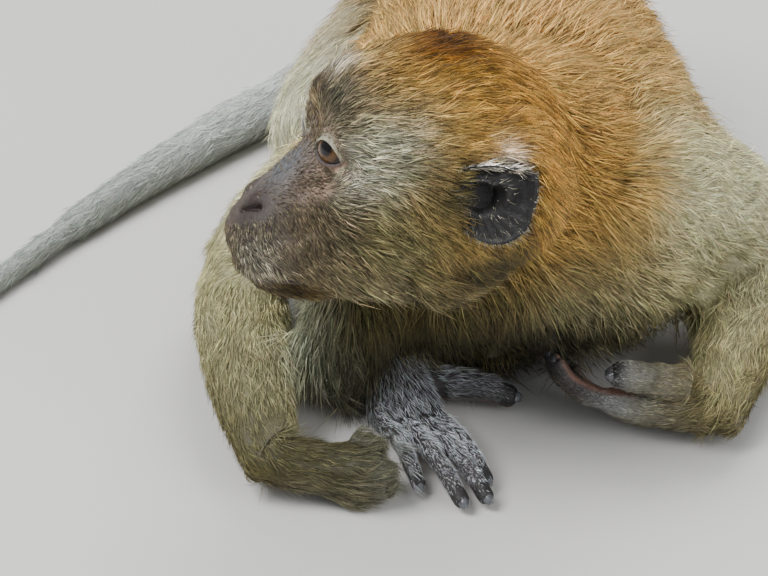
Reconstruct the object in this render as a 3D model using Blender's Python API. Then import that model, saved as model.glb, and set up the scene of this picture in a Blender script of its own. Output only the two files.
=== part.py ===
"""A long-tailed macaque crouching low, life size, as a still museum model.

Run with: blender --background --python part.py

Every flesh part is a loft: rings of an elliptical section carried along the part's own
line, out to the tips of the coat. Where two parts meet, the later one is cut by a copy
of the earlier one that is a hair larger, so that they touch without overlapping.
"""
import math

import bmesh
import bpy
import numpy as np
from mathutils import Vector

# ---------------------------------------------------------------- driving sizes
UNIT = 0.0104            # metres in one unit of the body plan below
PLAN_CENTRE = (-5.30, 14.73)     # plan point that the model's own origin stands on
GAP = 0.0004             # clearance that a cut leaves between two parts, metres
FLATNESS = math.radians(2.0)     # faces that bend less than this are joined after a cut
FLOOR_DIP = 0.08         # how far rounded undersides dip below the floor before the cut

HEAD_YAW = math.radians(11)      # head turned from square left towards the front
HEAD_ROLL = math.radians(11)     # crown leaning away from the front
BROW_POINT = Vector((-4.96, 3.54, 12.53))    # between the eyes, level with the lids
EYE_SPACING = 2.9
EYE_DEPTH = 0.55                 # how far the eyeballs' middles lie behind BROW_POINT
EYE_RADIUS = 0.92
EYE_HOLLOW = (0.85, 1.90, 0.10, 0.85, 0.95, 0.72)   # middle (forward, left, up), half sizes

BODY_SIDES = 16
HEAD_SIDES = 18
LIMB_SIDES = 11
DIGIT_SIDES = 6
TAIL_SIDES = 9
HEAD_RINGS = 18
TRUNK_RINGS = 13
NECK_RINGS = 7

# The head's own directions: forward along the muzzle, to its left, and up.
FORWARD = Vector((-math.cos(HEAD_YAW), -math.sin(HEAD_YAW), 0.0))
LEVEL_LEFT = Vector((math.sin(HEAD_YAW), -math.cos(HEAD_YAW), 0.0))
LEFT = LEVEL_LEFT * math.cos(HEAD_ROLL) + Vector((0, 0, 1)) * math.sin(HEAD_ROLL)
UP = FORWARD.cross(LEFT)

# ---------------------------------------------------------------- the body plan
# Head sections: (forward, top, middle, bottom, half width), from the muzzle's tip back.
HEAD_SECTIONS = [
    (3.44, -2.55, -2.95, -3.50, 0.50),
    (3.26, -2.10, -3.20, -4.35, 1.25),
    (2.80, -1.72, -3.40, -4.95, 1.75),
    (2.00, -1.10, -3.45, -5.35, 2.05),
    (1.15, -0.30, -3.30, -5.45, 2.35),
    (0.50, 0.95, -2.80, -5.50, 2.80),
    (0.05, 1.95, -2.20, -5.55, 3.35),
    (-0.80, 2.70, -1.80, -5.75, 3.95),
    (-2.20, 3.15, -1.50, -5.90, 4.40),
    (-3.80, 3.35, -1.30, -5.90, 4.45),
    (-5.40, 3.15, -1.20, -5.40, 4.35),
    (-6.80, 2.45, -1.20, -4.60, 3.90),
    (-7.80, 1.40, -1.20, -3.40, 2.90),
    (-8.35, 0.20, -1.20, -2.30, 1.50),
]

# Trunk sections: (x, y, z, half width, half height), from the chest back to the rump.
TRUNK_SECTIONS = [
    (0.2, 4.9, 6.6, 2.0, 2.0),
    (0.6, 5.8, 6.5, 4.9, 4.0),
    (1.4, 7.6, 6.7, 6.9, 5.7),
    (1.9, 10.2, 7.0, 7.9, 6.4),
    (2.0, 13.5, 7.6, 7.2, 6.6),
    (2.0, 18.0, 8.1, 5.9, 6.3),
    (2.0, 23.0, 8.2, 5.3, 6.1),
    (1.7, 28.0, 7.4, 5.0, 5.6),
    (1.1, 31.6, 6.3, 4.0, 4.6),
    (0.6, 33.4, 5.7, 2.1, 2.5),
]
TRUNK_SQUARENESS = 3.0   # exponent of the trunk's section below its widest level
# The soft of the right breast, which hangs beside the right foot: its middle and half sizes.
BREAST = ((-4.3, 6.1, 4.2), (1.9, 1.8, 3.6))

NECK_SECTIONS = [
    (-1.6, 4.6, 10.3, 3.6, 3.4),
    (0.2, 5.6, 9.9, 4.3, 4.0),
    (1.3, 7.6, 9.3, 5.0, 4.5),
    (1.7, 10.0, 8.9, 5.0, 4.4),
]

# Limb lines: (x, y, z, half width, half height) along each part.
UPPER_ARM = {
    "left": [(6.0, 8.4, 8.4, 2.7, 3.0), (8.2, 10.8, 6.8, 2.6, 2.8), (10.3, 13.6, 4.6, 2.2, 2.3),
             (11.7, 15.6, 2.9, 1.8, 1.9)],
    "right": [(-3.4, 7.4, 9.0, 2.5, 2.7), (-4.9, 9.0, 7.4, 2.5, 2.6), (-6.7, 11.0, 5.2, 2.2, 2.2),
              (-7.9, 12.3, 3.2, 1.8, 1.9)],
}
FOREARM = {
    "left": [(12.2, 16.4, 2.25, 1.5, 1.7), (11.8, 14.0, 2.1, 1.95, 1.95),
             (10.6, 9.8, 1.95, 1.95, 1.8), (9.6, 6.4, 1.75, 1.6, 1.6), (9.1, 4.7, 1.60, 1.4, 1.5)],
    "right": [(-8.3, 13.0, 2.3, 1.5, 1.7), (-8.2, 10.8, 2.2, 1.9, 2.0),
              (-7.9, 7.0, 2.0, 1.85, 1.85), (-7.3, 3.3, 1.75, 1.55, 1.6),
              (-6.9, 1.5, 1.65, 1.4, 1.5)],
}
THIGH = {
    "left": [(4.4, 28.0, 5.8, 3.0, 3.2), (5.5, 23.6, 5.4, 2.8, 3.0), (6.2, 19.6, 4.9, 2.5, 2.6),
             (6.7, 16.8, 4.7, 2.2, 2.2)],
    "right": [(-1.6, 28.0, 5.8, 3.0, 3.2), (-3.3, 24.4, 5.5, 2.8, 3.0), (-4.8, 21.2, 5.2, 2.5, 2.6),
              (-5.6, 18.9, 4.9, 2.2, 2.3)],
}
SHIN = {
    "left": [(6.9, 16.6, 3.4, 1.8, 1.7), (6.8, 19.6, 3.2, 1.8, 1.5), (6.4, 23.6, 2.8, 1.5, 1.3),
             (6.0, 27.4, 2.3, 1.3, 1.2)],
    "right": [(-5.5, 18.8, 3.9, 1.8, 1.7), (-5.0, 16.2, 3.8, 1.8, 1.7), (-4.0, 13.2, 3.4, 1.5, 1.5),
              (-3.2, 10.9, 2.9, 1.3, 1.3)],
}
TAIL_LINE = [
    (1.3, 31.4, 5.4, 1.50), (1.0, 33.7, 4.7, 1.48), (-0.5, 35.0, 3.3, 1.42), (-2.9, 34.2, 2.0, 1.38),
    (-5.1, 32.0, 1.46, 1.32), (-7.0, 30.0, 1.30, 1.26), (-8.7, 28.0, 1.22, 1.20),
    (-10.8, 25.5, 1.06, 1.05), (-13.0, 22.6, 0.92, 0.91), (-15.2, 19.4, 0.76, 0.77),
    (-17.4, 15.8, 0.64, 0.63), (-19.8, 11.6, 0.58, 0.57), (-21.8, 7.0, 0.54, 0.53),
    (-23.2, 2.2, 0.50, 0.49), (-23.9, -2.4, 0.43, 0.44), (-23.4, -6.6, 0.36, 0.35),
]
TAIL_PARTS = 4
Z_AXIS = Vector((0, 0, 1))


def directions(along, palm):
    """Unit directions along a hand, across it towards the thumb's side, and out of its palm."""
    along = Vector(along).normalized()
    palm = Vector(palm)
    palm = (palm - along * palm.dot(along)).normalized()
    across = along.cross(palm)
    if across.z < 0:
        across = -across
    return {"along": along, "palm": palm, "across": across}


HAND = {
    "left": dict(directions((-0.95, 0.22, -0.03), (0.28, 0.72, 0.63)),
                 wrist=Vector((9.0, 4.3, 1.45)), curl=(12, 30, 34), thumb=0.10),
    "right": dict(directions((0.97, -0.20, -0.02), (-0.05, 0.95, 0.22)),
                  wrist=Vector((-6.7, 0.9, 1.50)), curl=(58, 78, 50), thumb=0.75),
}
# Rings of the palm: (reach from the wrist, half width, half thickness).
PALM_RINGS = [(-0.35, 0.80, 0.65), (0.0, 1.15, 0.95), (1.2, 1.30, 0.95), (2.6, 1.50, 0.85),
              (3.9, 1.45, 0.72), (4.4, 1.15, 0.50)]
# Fingers from the thumb's side: place across the knuckles, length, half thickness.
FINGERS = [(1.05, 3.5, 0.36), (0.36, 4.0, 0.38), (-0.36, 3.9, 0.37), (-1.02, 3.2, 0.34)]
FINGER_BONES = (0.46, 0.31, 0.23)    # shares of a finger's length, from its root
FOOT = {
    "right": {"heel": Vector((-3.55, 11.9, 0.0)), "along": Vector((0.215, -1, 0)).normalized(),
              "inner": Vector((1, 0.215, 0)).normalized(), "sweep": 0.27, "hallux": (0.42, 1.0)},
    "left": {"heel": Vector((5.7, 29.2, 0.0)), "along": Vector((0.10, -1, 0)).normalized(),
             "inner": Vector((-1, -0.10, 0)).normalized(), "sweep": 0.0, "hallux": (0.8, 0.6)},
}
# Rings of the foot: (reach from the heel, half width, height).
FOOT_RINGS = [(0.15, 0.75, 1.5), (0.9, 1.05, 2.3), (2.2, 1.15, 3.3), (3.8, 1.15, 2.9),
              (5.6, 1.30, 2.3), (7.4, 1.55, 1.85), (8.9, 1.65, 1.5)]
# Toes from the great toe's side: place across, length, half thickness, fan outwards.
TOES = [(1.05, 3.0, 0.40, 0.02), (0.36, 3.7, 0.42, 0.0), (-0.34, 3.7, 0.40, -0.02),
        (-1.02, 2.7, 0.36, -0.05)]
# The ear's turned profile: (how far out from its middle, share of its radius).
EAR_PROFILE = [(-0.42, 0.45), (-0.30, 0.80), (0.02, 0.99), (0.14, 0.97), (0.00, 0.84),
               (-0.14, 0.50)]
EAR_HALF_WIDTH = 1.50
EAR_HALF_HEIGHT = 1.62


def place(point):
    """A point of the body plan as a place in the model, in metres."""
    x, y, z = point
    return Vector(((x - PLAN_CENTRE[0]) * UNIT, (y - PLAN_CENTRE[1]) * UNIT, z * UNIT))


def head_point(forward, left, up):
    """A place on the head, in plan units, from the point between the eyes."""
    return BROW_POINT + FORWARD * forward + LEFT * left + UP * up


# ---------------------------------------------------------------- making solids
def smooth_rows(rows, count):
    """Rows of numbers resampled evenly along a Catmull-Rom curve through them."""
    rows = np.array(rows, float)
    steps = np.linalg.norm(np.diff(rows[:, :3], axis=0), axis=1)
    at = np.concatenate([[0.0], np.cumsum(steps)])
    slopes = np.gradient(rows, at, axis=0)
    out = []
    for s in np.linspace(0.0, at[-1], count):
        i = min(int(np.searchsorted(at, s, side="right")) - 1, len(at) - 2)
        h = at[i + 1] - at[i]
        t = (s - at[i]) / h
        out.append(rows[i] * (2 * t**3 - 3 * t**2 + 1) + rows[i + 1] * (3 * t**2 - 2 * t**3)
                   + slopes[i] * h * (t**3 - 2 * t**2 + t) + slopes[i + 1] * h * (t**3 - t**2))
    return np.array(out)


def mesh_object(name, points, faces, collection):
    """A new object from points in metres and faces, in triangles that face outwards.

    Bent squares are split here, so that an object and its grown copy are split alike.
    """
    mesh = bpy.data.meshes.new(name)
    mesh.from_pydata([tuple(p) for p in points], [], faces)
    bm = bmesh.new()
    bm.from_mesh(mesh)
    bmesh.ops.recalc_face_normals(bm, faces=bm.faces)
    bmesh.ops.triangulate(bm, faces=bm.faces)
    bm.to_mesh(mesh)
    bm.free()
    for polygon in mesh.polygons:
        polygon.use_smooth = True
    obj = bpy.data.objects.new(name, mesh)
    collection.objects.link(obj)
    return obj


def skin_rings(name, rings, first, last, collection):
    """A closed solid over a list of rings with a point at each end."""
    sides = len(rings[0])
    points = [first] + [p for ring in rings for p in ring] + [last]
    faces = [(0, 1 + (k + 1) % sides, 1 + k) for k in range(sides)]
    for i in range(len(rings) - 1):
        a, b = 1 + i * sides, 1 + (i + 1) * sides
        faces += [(a + k, a + (k + 1) % sides, b + (k + 1) % sides, b + k) for k in range(sides)]
    a, end = 1 + (len(rings) - 1) * sides, len(points) - 1
    faces += [(a + k, a + (k + 1) % sides, end) for k in range(sides)]
    return mesh_object(name, points, faces, collection)


def limb(name, line, count, sides, collection, ends=(True, True), dome=(28, 56)):
    """A rounded tube of elliptical section along a line of (x, y, z, half width, half height)."""
    rows = smooth_rows([row if len(row) == 5 else (*row, row[3]) for row in line], count)
    centres = [Vector(row[:3]) for row in rows]
    frames = []
    for i in range(count):
        along = (centres[min(i + 1, count - 1)] - centres[max(i - 1, 0)]).normalized()
        side = along.cross(Z_AXIS).normalized()
        frames.append((along, side, side.cross(along)))
    stations = [(c, f, row[3], row[4]) for c, f, row in zip(centres, frames, rows)]
    tips = []
    for end, rounded in ((0, ends[0]), (-1, ends[1])):
        c, f, wide, high = stations[end]
        way = f[0] * (1 if end else -1)
        reach = 0.5 * (wide + high) if rounded else 0.15 * (wide + high)
        domes = []
        for turn in dome:
            t = math.radians(turn)
            domes.append((c + way * reach * math.sin(t), f, wide * math.cos(t), high * math.cos(t)))
        stations = domes[::-1] + stations if end == 0 else stations + domes
        tips.append(c + way * reach)
    turns = [2 * math.pi * k / sides for k in range(sides)]
    rings = []
    for c, (_, side, up), wide, high in stations:
        rings.append([place(c + side * (math.cos(t) * wide) + up * (math.sin(t) * high))
                      for t in turns])
    return skin_rings(name, rings, place(tips[0]), place(tips[1]), collection)


def sectioned(name, rows, count, sides, ring_of, tips, collection):
    """A loft through rings that ring_of works out from each smoothed row of numbers."""
    rings = [[place(p) for p in ring_of(row, sides)] for row in smooth_rows(rows, count)]
    return skin_rings(name, rings, place(tips[0]), place(tips[1]), collection)


def head_ring(row, sides):
    """One upright section of the head, with its own height above and below its widest level."""
    forward, top, middle, bottom, wide = row
    ring = []
    for k in range(sides):
        t = 2 * math.pi * k / sides
        reach = (top - middle) if math.sin(t) > 0 else (middle - bottom)
        ring.append(head_point(forward, wide * math.cos(t), middle + reach * math.sin(t)))
    return ring


def level_ring(row, sides, squareness=2.0):
    """One upright section of the trunk or neck, facing along Y, and fuller in its lower half."""
    x, y, z, wide, high = row
    ring = []
    for k in range(sides):
        t = 2 * math.pi * k / sides
        across, up = math.cos(t), math.sin(t)
        if up < 0:
            across = math.copysign(abs(across) ** (2 / squareness), across)
            up = -abs(up) ** (2 / squareness)
        ring.append(Vector((x + wide * across, y, z + high * up)))
    return ring


def modify(obj, kind, cutter):
    """Adds a Boolean modifier that joins or cuts obj with cutter, both of them closed solids.

    The solver is MANIFOLD, because EXACT drops whole digits and palms from these unions.
    """
    modifier = obj.modifiers.new(kind.lower(), "BOOLEAN")
    modifier.operation = kind
    modifier.solver = "MANIFOLD"
    modifier.object = cutter


def settle(obj):
    """Makes obj's modifiers its mesh, and keeps the largest closed piece of it."""
    graph = bpy.context.evaluated_depsgraph_get()
    graph.update()
    mesh = bpy.data.meshes.new_from_object(obj.evaluated_get(graph))
    obj.modifiers.clear()
    bm = bmesh.new()
    bm.from_mesh(mesh)
    islands, seen = [], set()
    for start in bm.verts:
        if start in seen:
            continue
        island, todo = {start}, [start]
        while todo:
            for edge in todo.pop().link_edges:
                for vert in edge.verts:
                    if vert not in island:
                        island.add(vert)
                        todo.append(vert)
        seen |= island
        islands.append(island)
    islands.sort(key=len)
    loose = [vert for island in islands[:-1] for vert in island]
    bmesh.ops.delete(bm, geom=loose, context="VERTS")
    bmesh.ops.dissolve_limit(bm, angle_limit=FLATNESS, verts=bm.verts, edges=bm.edges)
    bmesh.ops.triangulate(bm, faces=bm.faces)
    bm.to_mesh(mesh)
    bm.free()
    old = obj.data
    obj.data = mesh
    mesh.name = old.name
    bpy.data.meshes.remove(old)
    return obj


def swollen(obj, collection):
    """A copy of obj grown by the gap, for cutting its neighbours."""
    mesh = obj.data.copy()
    grown = [v.co + v.normal * GAP for v in mesh.vertices]
    for vertex, co in zip(mesh.vertices, grown):
        vertex.co = co
    cutter = bpy.data.objects.new(obj.name + "_cutter", mesh)
    collection.objects.link(cutter)
    return cutter


def box_of(obj):
    """The lowest and the highest corner of the box round an object's mesh."""
    points = np.array([v.co for v in obj.data.vertices])
    return points.min(axis=0), points.max(axis=0)


def boxes_touch(a, b):
    """Whether the boxes round two objects' meshes overlap, with the gap allowed for."""
    (low_a, high_a), (low_b, high_b) = box_of(a), box_of(b)
    return bool(np.all(low_a - 2 * GAP < high_b) and np.all(low_b - 2 * GAP < high_a))


# ---------------------------------------------------------------- the parts
def make_head(parts, cutters):
    """The head without its eyes and ears, from the muzzle's tip to the nape."""
    def ring(row, sides):
        return head_ring((row[0], *row[3:]), sides)

    tips = (head_point(3.5, 0, -3.0), head_point(-8.6, 0, -1.2))
    rows = [(row[0], 0.0, 0.0, *row[1:]) for row in HEAD_SECTIONS]
    head = sectioned("head", rows, HEAD_RINGS, HEAD_SIDES, ring, tips, parts)
    for way in (1, -1):
        bpy.ops.mesh.primitive_uv_sphere_add(segments=12, ring_count=8, radius=1.0)
        hollow = bpy.context.object
        hollow.name = "eye_hollow"
        forward, left, up, *half = EYE_HOLLOW
        for vertex in hollow.data.vertices:
            a, l, b = (u * v for u, v in zip(vertex.co, half))
            vertex.co = place(head_point(forward + a, way * left + l, up + b))
        modify(head, "DIFFERENCE", adopt(hollow, cutters))
    return settle(head)


def make_trunk(parts, cutters):
    """The trunk from the chest to the rump, with the breast that hangs beside the foot."""
    def ring(row, sides):
        return level_ring(row, sides, TRUNK_SQUARENESS)

    tips = (Vector((0.1, 4.5, 6.6)), Vector((0.4, 34.0, 5.5)))
    trunk = sectioned("trunk", TRUNK_SECTIONS, TRUNK_RINGS, BODY_SIDES, ring, tips, parts)
    middle, half = BREAST
    bpy.ops.mesh.primitive_uv_sphere_add(segments=14, ring_count=10, radius=1.0)
    breast = bpy.context.object
    breast.name = "breast"
    breast.scale = Vector(half) * UNIT
    breast.location = place(middle)
    modify(trunk, "UNION", adopt(breast, cutters))
    return settle(trunk)


def make_eye(side, parts):
    """One eyeball."""
    way = 1 if side == "left" else -1
    bpy.ops.mesh.primitive_uv_sphere_add(
        segments=12, ring_count=8, radius=EYE_RADIUS * UNIT,
        location=place(head_point(-EYE_DEPTH, way * EYE_SPACING / 2, 0.05)))
    obj = bpy.context.object
    obj.name = "eye_" + side
    return adopt(obj, parts)


def adopt(obj, collection):
    """Moves a newly added obj to a collection, with its place and size put into its mesh."""
    obj.data.transform(obj.matrix_basis)
    obj.matrix_basis.identity()
    obj.data.name = obj.name
    for other in list(obj.users_collection):
        other.objects.unlink(obj)
    collection.objects.link(obj)
    for polygon in obj.data.polygons:
        polygon.use_smooth = True
    return obj


def make_ear(side, parts):
    """One ear: a thin oval bowl, wider at its top, open to the front and side."""
    way = 1 if side == "left" else -1
    back = (-FORWARD * 0.90 + LEFT * way * 0.44).normalized()
    out = (LEFT * way * 0.90 + FORWARD * 0.44).normalized()
    sides = LIMB_SIDES + 2
    middle = head_point(-4.78, way * 4.80, -1.20)
    rings = []
    for depth, share in EAR_PROFILE:
        ring = []
        for k in range(sides):
            t = 2 * math.pi * k / sides
            height = math.sin(t)
            width = math.cos(t) * (1.0 + 0.16 * height)
            ring.append(place(middle + out * depth + back * (width * share * EAR_HALF_WIDTH)
                              + UP * (height * share * EAR_HALF_HEIGHT)))
        rings.append(ring)
    ends = (place(middle - out * 0.46), place(middle - out * 0.20))
    return skin_rings("ear_" + side, rings, *ends, parts)


def digit(name, points, radii, parts):
    """One finger or toe along its joints."""
    line = [(*p, r, r * 0.94) for p, r in zip(points, radii)]
    return limb(name, line, 5, DIGIT_SIDES, parts, dome=(45,))


def make_hand(side, parts, cutters):
    """A hand on its outer edge: the palm, four half-curled fingers and a thumb."""
    plan = HAND[side]
    along, across, palm = plan["along"], plan["across"], plan["palm"]
    wrist = plan["wrist"]
    rings = [oval(wrist + along * reach, across, palm, wide, thick, LIMB_SIDES)
             for reach, wide, thick in PALM_RINGS]
    ends = (place(wrist - along * 0.5), place(wrist + along * 4.6))
    hand = skin_rings("hand_" + side, rings, *ends, parts)
    for k, (spread, length, radius) in enumerate(FINGERS):
        root = wrist + along * 3.5 + across * spread - palm * 0.05
        points, bend, at = [root], 0.0, root
        for bone, turn in zip(FINGER_BONES, plan["curl"]):
            bend += math.radians(turn)
            at = at + (along * math.cos(bend) + palm * math.sin(bend)) * (length * bone)
            points.append(at)
        radii = (radius * 1.08, radius, radius * 0.92, radius * 0.8)
        modify(hand, "UNION", digit(f"finger_{side}_{k}", points, radii, cutters))
    root = wrist + along * 1.1 + across * 1.05 + palm * 0.30
    way = (along - across * 0.05 + palm * plan["thumb"]).normalized()
    points = [root, root + way * 0.9, root + way * 1.8, root + way * 2.6]
    modify(hand, "UNION", digit(f"thumb_{side}", points, (0.55, 0.44, 0.38, 0.32), cutters))
    return settle(hand)


def oval(centre, across, upright, wide, high, sides):
    """A ring of points on an ellipse, in metres."""
    turns = [2 * math.pi * k / sides for k in range(sides)]
    return [place(centre + across * (math.cos(t) * wide) + upright * (math.sin(t) * high))
            for t in turns]


def make_foot(side, parts, cutters):
    """A foot flat on the floor: heel, instep, four long toes and a thick great toe held wide."""
    plan = FOOT[side]
    heel, along, inner = plan["heel"], plan["along"], plan["inner"]
    rings = []
    for reach, wide, top in FOOT_RINGS:
        centre = heel + along * reach + Z_AXIS * (top / 2 - FLOOR_DIP)
        rings.append(oval(centre, inner, Z_AXIS, wide, top / 2, LIMB_SIDES))
    rings.append(oval(heel + along * 9.6 + Z_AXIS * 0.6, inner, Z_AXIS, 1.2, 0.45, LIMB_SIDES))
    ends = (place(heel - along * 0.1 + Z_AXIS * 0.7), place(heel + along * 9.9 + Z_AXIS * 0.6))
    foot = skin_rings("foot_" + side, rings, *ends, parts)
    for k, (spread, length, radius, fan) in enumerate(TOES):
        root = heel + along * 8.8 + inner * spread + Z_AXIS * 0.75
        way = (along + inner * (fan + plan["sweep"])).normalized() * length
        points = [root, root + way * 0.4 + Z_AXIS * 0.18, root + way * 0.75 + Z_AXIS * 0.02,
                  root + way - Z_AXIS * 0.34]
        radii = (radius * 1.1, radius, radius * 0.95, radius * 0.85)
        modify(foot, "UNION", digit(f"toe_{side}_{k}", points, radii, cutters))
    root = heel + along * 5.2 + inner * 0.7 + Z_AXIS * 0.95
    way = (along * plan["hallux"][0] + inner * plan["hallux"][1]).normalized()
    points = [root, root + way * 1.3 + Z_AXIS * 0.05, root + way * 2.5,
              root + way * 3.5 - Z_AXIS * 0.35]
    modify(foot, "UNION", digit(f"great_toe_{side}", points, (0.75, 0.62, 0.52, 0.45), cutters))
    return settle(foot)


def make_tail(parts):
    """The tail's lengths from the rump out, each cut square from one smooth line."""
    steps = 12
    rows = smooth_rows([(x, y, z, r, r) for x, y, z, r in TAIL_LINE], steps * TAIL_PARTS + 1)
    made = []
    for k in range(TAIL_PARTS):
        piece = [tuple(row) for row in rows[steps * k: steps * (k + 1) + 1]]
        ends = (False, k == TAIL_PARTS - 1)
        made.append(limb(f"tail_{k + 1}", piece, 6, TAIL_SIDES, parts, ends))
    return made


# ---------------------------------------------------------------- finishes
FINISHES = {
    "fur_golden": ((0.36, 0.22, 0.09), 0.9, ("head", "neck", "trunk")),
    "fur_olive": ((0.22, 0.19, 0.12), 0.9, ("upper_arm", "forearm", "thigh", "shin", "tail")),
    "skin_dark": ((0.06, 0.05, 0.05), 0.6, ("hand", "foot", "ear")),
    "eye": ((0.10, 0.045, 0.02), 0.1, ("eye",)),
}


def finish(obj):
    """Gives obj its own material, by what its name starts with."""
    for colour, roughness, kinds in FINISHES.values():
        if obj.name.startswith(kinds):
            material = bpy.data.materials.new(obj.name)
            material.use_nodes = True
            shader = material.node_tree.nodes["Principled BSDF"]
            shader.inputs["Base Color"].default_value = (*colour, 1.0)
            shader.inputs["Roughness"].default_value = roughness
            shader.inputs["Metallic"].default_value = 0.0
            material.diffuse_color = (*colour, 1.0)
            obj.data.materials.clear()
            obj.data.materials.append(material)
            return
    raise ValueError(f"no finish for {obj.name}")


def floor_cutter(cutters):
    """A block whose top is the floor, which trims the undersides to flats."""
    bpy.ops.mesh.primitive_cube_add(size=1.0, location=(0, 0, -0.05))
    obj = bpy.context.object
    obj.name = "floor_cutter"
    obj.scale = (1.2, 1.2, 0.1)
    return adopt(obj, cutters)


def main():
    for obj in list(bpy.data.objects):
        bpy.data.objects.remove(obj, do_unlink=True)
    parts = bpy.data.collections.new("macaque")
    cutters = bpy.data.collections.new("cutters")
    for collection in (parts, cutters):
        bpy.context.scene.collection.children.link(collection)
    floor = floor_cutter(cutters)
    sides = ("left", "right")
    order = [make_eye(side, parts) for side in sides] + [make_head(parts, cutters)]
    order += [make_foot(side, parts, cutters) for side in sides]
    order += [make_hand(side, parts, cutters) for side in sides]
    order += [make_ear(side, parts) for side in sides]
    for name, lines, count in (("forearm", FOREARM, 8), ("shin", SHIN, 6),
                               ("upper_arm", UPPER_ARM, 6), ("thigh", THIGH, 6)):
        order += [limb(f"{name}_{side}", lines[side], count, LIMB_SIDES, parts)
                  for side in sides]
    order += make_tail(parts)
    tips = (Vector((-2.6, 4.2, 10.4)), Vector((1.8, 11.0, 8.8)))
    order.append(sectioned("neck", NECK_SECTIONS, NECK_RINGS, BODY_SIDES, level_ring, tips, parts))
    order.append(make_trunk(parts, cutters))
    cores = {obj.name: swollen(obj, cutters) for obj in order}
    for i, obj in enumerate(order):
        for other in order[:i]:
            if boxes_touch(obj, cores[other.name]):
                modify(obj, "DIFFERENCE", cores[other.name])
        if min(v.co.z for v in obj.data.vertices) < 0:
            modify(obj, "DIFFERENCE", floor)
    for obj in order:
        settle(obj)
        finish(obj)
    for obj in cutters.objects:
        obj.hide_render = True
        obj.display_type = "WIRE"


main()
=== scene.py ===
"""A crouching long-tailed macaque: skin, eyes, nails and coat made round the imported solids."""
import math
from types import SimpleNamespace

import bmesh
import bpy
import numpy as np
from bpy.props import FloatProperty, FloatVectorProperty, IntProperty, PointerProperty
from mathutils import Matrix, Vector


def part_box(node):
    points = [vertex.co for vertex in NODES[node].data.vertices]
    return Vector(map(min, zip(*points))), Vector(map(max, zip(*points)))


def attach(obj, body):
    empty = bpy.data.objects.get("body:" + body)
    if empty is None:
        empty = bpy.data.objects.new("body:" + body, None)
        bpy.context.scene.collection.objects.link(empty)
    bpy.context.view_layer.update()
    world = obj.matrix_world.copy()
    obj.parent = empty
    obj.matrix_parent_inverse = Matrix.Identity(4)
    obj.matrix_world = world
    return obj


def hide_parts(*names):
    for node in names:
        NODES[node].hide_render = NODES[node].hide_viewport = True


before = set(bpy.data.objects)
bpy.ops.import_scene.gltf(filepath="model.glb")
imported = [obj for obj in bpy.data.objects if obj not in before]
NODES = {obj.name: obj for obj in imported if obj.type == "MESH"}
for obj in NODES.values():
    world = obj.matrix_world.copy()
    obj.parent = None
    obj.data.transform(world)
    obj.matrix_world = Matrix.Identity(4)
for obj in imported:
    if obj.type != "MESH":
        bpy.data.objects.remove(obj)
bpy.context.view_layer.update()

bl_info = {
    "name": "Crouching Macaque",
    "version": (1, 0, 0),
    "blender": (4, 5, 0),
    "location": "View3D > Sidebar > Macaque",
    "description": "Makes a still, life-size macaque with its skin, eyes, nails and coat",
    "category": "Add Mesh",
}

SIDES = {"left": 1, "right": -1}
EYES = ["eye_left", "eye_right"]
EARS = ["ear_left", "ear_right"]
FLESH = [name for name in NODES if name not in EYES]
EXTREMITIES = ["hand_left", "hand_right", "foot_left", "foot_right"]
BODY_SOURCE = [name for name in NODES if name not in EARS + EXTREMITIES]
SKIN_SOURCE = [name for name in NODES if name not in EARS]

# ------------------------------------------------------------------ the head's own frame
HEAD_TURN = math.radians(11)     # both the head's turn and its lean, as the solid's
SPAN_OF_EYES = 2.9               # head units between the eyes' middles
FORWARD = np.array([-math.cos(HEAD_TURN), -math.sin(HEAD_TURN), 0.0])
LEFT = np.array([math.sin(HEAD_TURN) * math.cos(HEAD_TURN), -math.cos(HEAD_TURN) ** 2,
                 math.sin(HEAD_TURN)])
UP = np.cross(FORWARD, LEFT)


def middle_of(node):
    """The middle of a node's box."""
    low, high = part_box(node)
    return np.array((low + high) / 2)


HEAD_UNIT = np.linalg.norm(middle_of("eye_left") - middle_of("eye_right")) / SPAN_OF_EYES
BROW = (middle_of("eye_left") + middle_of("eye_right")) / 2 + HEAD_UNIT * (0.55 * FORWARD - 0.05 * UP)
EYE_RADIUS = np.ptp([corner[2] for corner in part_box("eye_left")]) / 2


def on_head(forward, left, up):
    """Places in metres of points given in head units from the brow."""
    return BROW + HEAD_UNIT * mixed((forward, FORWARD), (left, LEFT), (up, UP))


def head_coordinates(points):
    """Forward, left and up of each point, in head units from the brow."""
    away = (points - BROW) / HEAD_UNIT
    return away @ FORWARD, away @ LEFT, away @ UP


# ------------------------------------------------------------------ arrays
def unit(rows):
    """Each row divided by its length."""
    return rows / np.maximum(np.linalg.norm(rows, axis=-1, keepdims=True), 1e-12)


def lengths(rows):
    """Each row's length."""
    return np.linalg.norm(rows, axis=-1)


def mixed(*pairs):
    """The sum of each pair's values, in an array of any shape, times its direction."""
    return sum(np.multiply.outer(values, way) for values, way in pairs)


def ease(low, high, value):
    """0 below low, 1 above high, and 3t^2 - 2t^3 between."""
    t = np.clip((value - low) / (high - low), 0.0, 1.0)
    return t * t * (3 - 2 * t)


def hill(value, middle, width):
    """exp of minus the square of (value - middle) / width."""
    return np.exp(-((value - middle) / width) ** 2)


def ripple(points, size, seed, ways=10):
    """A wandering value of about -1 to 1: the sum of sines along fixed random directions."""
    rng = np.random.default_rng(seed)
    waves = unit(rng.normal(size=(ways, 3))) * (2 * math.pi / size) * rng.uniform(0.6, 1.7, (ways, 1))
    return np.sin(points @ waves.T + rng.uniform(0, 2 * math.pi, ways)).sum(1) / math.sqrt(ways / 2) / 1.6


def joined(parts):
    """Several (places, faces) as one."""
    shifts = np.cumsum([0] + [len(points) for points, _ in parts[:-1]])
    return (np.concatenate([points for points, _ in parts]),
            np.concatenate([faces + shift for (_, faces), shift in zip(parts, shifts)]))


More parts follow.
